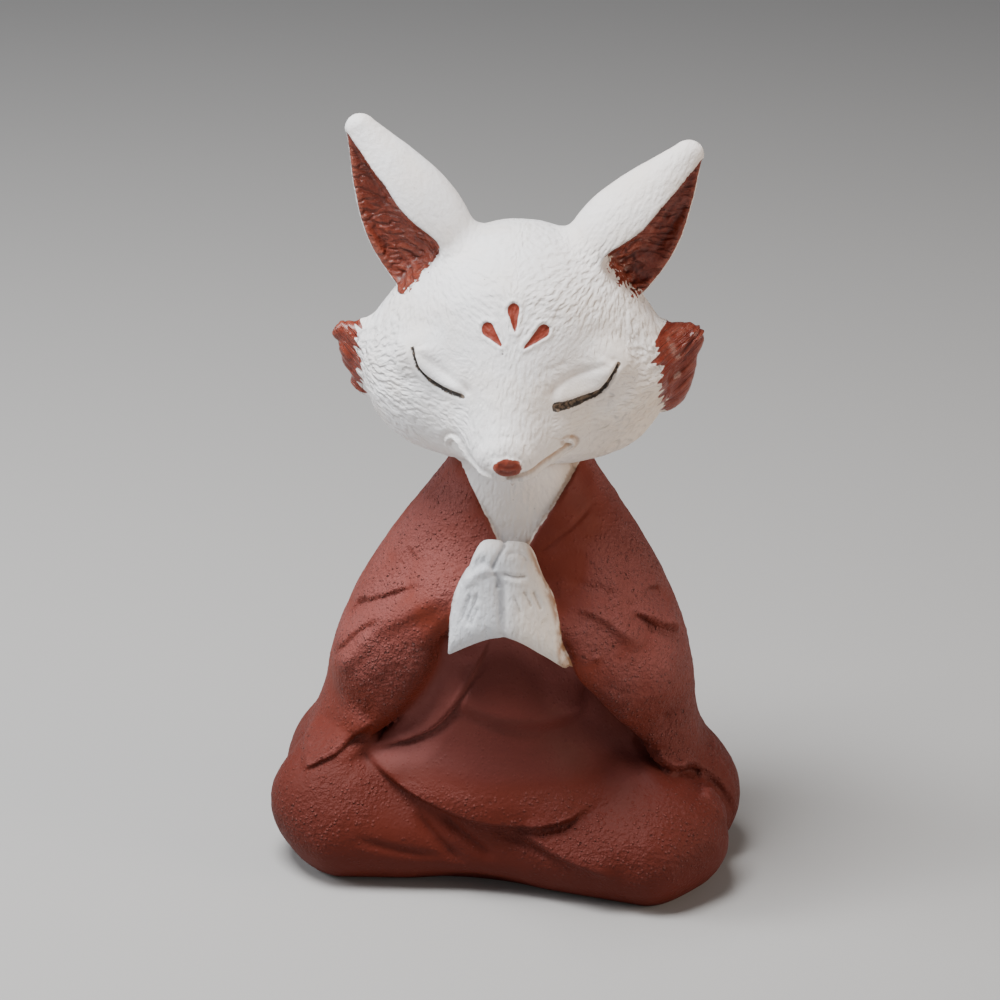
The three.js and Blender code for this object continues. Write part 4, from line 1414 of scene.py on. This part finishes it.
def clay_material():
    paint = Paint("fired_clay")
    coarse = paint.attribute("coarse")
    grit, grains, pits = robe_grain(paint, coarse)
    wobble = paint.noise(0.7, 3.0, shift=41.0) - 0.5
    teeth = paint.noise(0.55, shift=47.0) - 0.5
    strand_place = paint.point("strand", paint.x * 0.12)
    strand_teeth = paint.noise(0.45, 0.0, 0.5, strand_place, shift=4.0) - 0.5
    strand_wave = paint.noise(0.36, 1.0, 0.5, strand_place, shift=9.0)
    crumple_place = paint.point(paint.x * 0.5, paint.y * 0.7, paint.z)
    crumple_wave = paint.noise(1.15, 1.5, 0.5, crumple_place, shift=29.0)
    wrinkles = paint.step(abs(crumple_wave - 0.5), 0.0, 0.13)

    white = paint.area("white", wobble, 0.25, -0.05, 0.05)
    cup_edge = paint.area("cup", wobble, 0.3)
    cup = cup_edge * paint.area("cup_end", teeth, 1.8)
    tuft = paint.area("tuft", strand_teeth, 1.8)
    petal = paint.area("petal", wobble, 0.15, 0.04, -0.06)
    nose = paint.area("nose", wobble, 0.5, 0.06, -0.04)
    red = paint.most(cup, tuft, nose)
    line, line_colour = eye_paint(paint)
    colour = paint.layers(
        robe_colour(paint, grains, pits, coarse),
        (white, white_colour(paint)),
        (red, red_colour(paint, cup_edge, wrinkles)),
        (petal, PETAL_RED),
        (line * 0.95, line_colour),
    )

    areas = ("white", "cup", "cup_end", "tuft")
    white_flat, cup_flat, end_flat, tuft_flat = (paint.step(name, -0.1, 0.1) for name in areas)
    cup_flat = cup_flat * end_flat
    red_flat = paint.most(cup_flat, tuft_flat)
    bumps = (0.10 + coarse * 0.95) * (grains * GRAIN_HEIGHT + grit * GRIT_HEIGHT)
    cloth = (1.0 - white_flat) * (bumps + pits * PIT_HEIGHT)
    furred = white_flat * (1.0 - red_flat) * paint.attribute("fur")
    coat = furred * fine_fur(paint) * FINE_FUR_HEIGHT + white_flat * grit * DAUB_HEIGHT
    strands = tuft_flat * paint.step(strand_wave, 0.35, 0.6) * STRAND_HEIGHT
    crumpled = cup_flat * wrinkles * CRUMPLE_HEIGHT
    height = cloth + coat + strands + crumpled + red_flat * grit * RED_DAUB_HEIGHT
    relief = dict(Strength=1.0, Distance=MILLIMETRE, Height=height)
    bump = paint.plug_all(paint.node("ShaderNodeBump"), relief)

    paint.plug_all(paint.shader, {
        "Base Color": colour,
        "Normal": bump[0],
        "Roughness": 0.6 + white * -0.08 + red * -0.22,
        "Specular IOR Level": 0.18,
        "Coat Weight": red * 0.5,
        "Coat Roughness": 0.28,
    })
    return paint.material


def make_figure():
    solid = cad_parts["fox_figure"]
    offset = solid_offset(solid)
    mesh = clay_mesh(solid, offset)
    share_attributes(mesh)
    mesh.transform(scaling(MILLIMETRE) @ Matrix.Translation(-offset))
    mesh.polygons.foreach_set("use_smooth", np.ones(len(mesh.polygons), bool))
    mesh.materials.clear()
    mesh.materials.append(clay_material())
    piece = link(bpy.data.objects.new("fox_clay", mesh))
    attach(piece, "root")
    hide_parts("fox_figure")
    return offset


# Studio: the view in degrees and millimetres of the forms' own frame, the lights in metres

VIEW_TURN = math.radians(5.5)
VIEW_RISE = math.radians(22.0)
VIEW_ROLL = math.radians(2.0)
VIEW_DISTANCE = 340.0
VIEW_TARGET = np.array((0.0, 0.0, 37.8))
VIEW_SHIFT = -1.2
FOCAL_LENGTH = 122.4
SENSOR = 36.0
NEAR_CLIP = 0.01
FAR_CLIP = 50.0
LIGHT_TARGET = Vector((0, 0, 0.035))
LIGHTS = {
    "key": ((-0.08, -0.05, 0.31), 0.14, 1.8, (0.98, 0.99, 1.0)),
    "left": ((-0.40, -0.06, 0.24), 0.18, 1.3, (0.94, 0.97, 1.0)),
    "front": ((0.05, -0.55, 0.20), 0.30, 0.25, (1.0, 0.97, 0.94)),
    "right": ((0.43, -0.06, 0.13), 0.25, 1.05, (1.0, 0.82, 0.66)),
}
SKY_COLOUR = (0.85, 0.90, 1.0, 1.0)
SKY_STRENGTH = 0.14
FLOOR_REACH = 3.0
FLOOR_COLOUR = (0.40, 0.39, 0.38)
FLOOR_ROUGHNESS = 0.8


def make_camera(offset):
    level = math.cos(VIEW_RISE)
    back = np.array((math.sin(VIEW_TURN) * level, -math.cos(VIEW_TURN) * level, math.sin(VIEW_RISE)))
    right = np.array((math.cos(VIEW_TURN), math.sin(VIEW_TURN), 0.0))
    up = np.cross(back, right)
    rolled_right = right * math.cos(VIEW_ROLL) + up * math.sin(VIEW_ROLL)
    rolled_up = up * math.cos(VIEW_ROLL) - right * math.sin(VIEW_ROLL)
    place = VIEW_TARGET + rolled_right * VIEW_SHIFT + back * VIEW_DISTANCE - offset
    pose = np.eye(4)
    pose[:3] = np.stack([rolled_right, rolled_up, back, place * MILLIMETRE], 1)
    camera = link(bpy.data.objects.new("camera", bpy.data.cameras.new("camera")))
    camera.matrix_world = Matrix(pose)
    camera.data.lens = FOCAL_LENGTH
    camera.data.sensor_width = SENSOR
    camera.data.clip_start = NEAR_CLIP
    camera.data.clip_end = FAR_CLIP
    bpy.context.scene.camera = camera


def make_light(name, place, size, power, colour):
    light = bpy.data.lights.new(name, "AREA")
    light.size = size
    light.energy = power
    light.color = colour
    lamp = link(bpy.data.objects.new(name, light))
    lamp.location = place
    lamp.rotation_euler = (LIGHT_TARGET - Vector(place)).to_track_quat("-Z", "Y").to_euler()


def make_sky():
    world = bpy.data.worlds.new("studio")
    world.use_nodes = True
    sky = world.node_tree.nodes["Background"]
    sky.inputs["Color"].default_value = SKY_COLOUR
    sky.inputs["Strength"].default_value = SKY_STRENGTH
    bpy.context.scene.world = world


def make_floor():
    ground = bpy.data.meshes.new("floor")
    corners = [(x * FLOOR_REACH, y * FLOOR_REACH, 0) for x, y in ((-1, -1), (1, -1), (1, 1), (-1, 1))]
    ground.from_pydata(corners, [], [(0, 1, 2, 3)])
    cover = Paint("floor")
    cover.plug_all(cover.shader, {"Base Color": FLOOR_COLOUR, "Roughness": FLOOR_ROUGHNESS})
    ground.materials.append(cover.material)
    floor = link(bpy.data.objects.new("floor", ground))
    floor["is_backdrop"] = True


figure_offset = make_figure()
make_camera(figure_offset)
for light_name, light_settings in LIGHTS.items():
    make_light(light_name, *light_settings)
make_sky()
make_floor()

plain = [[[float(v) for v in corner] for corner in box] for box in (SOLID_BOX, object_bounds())]
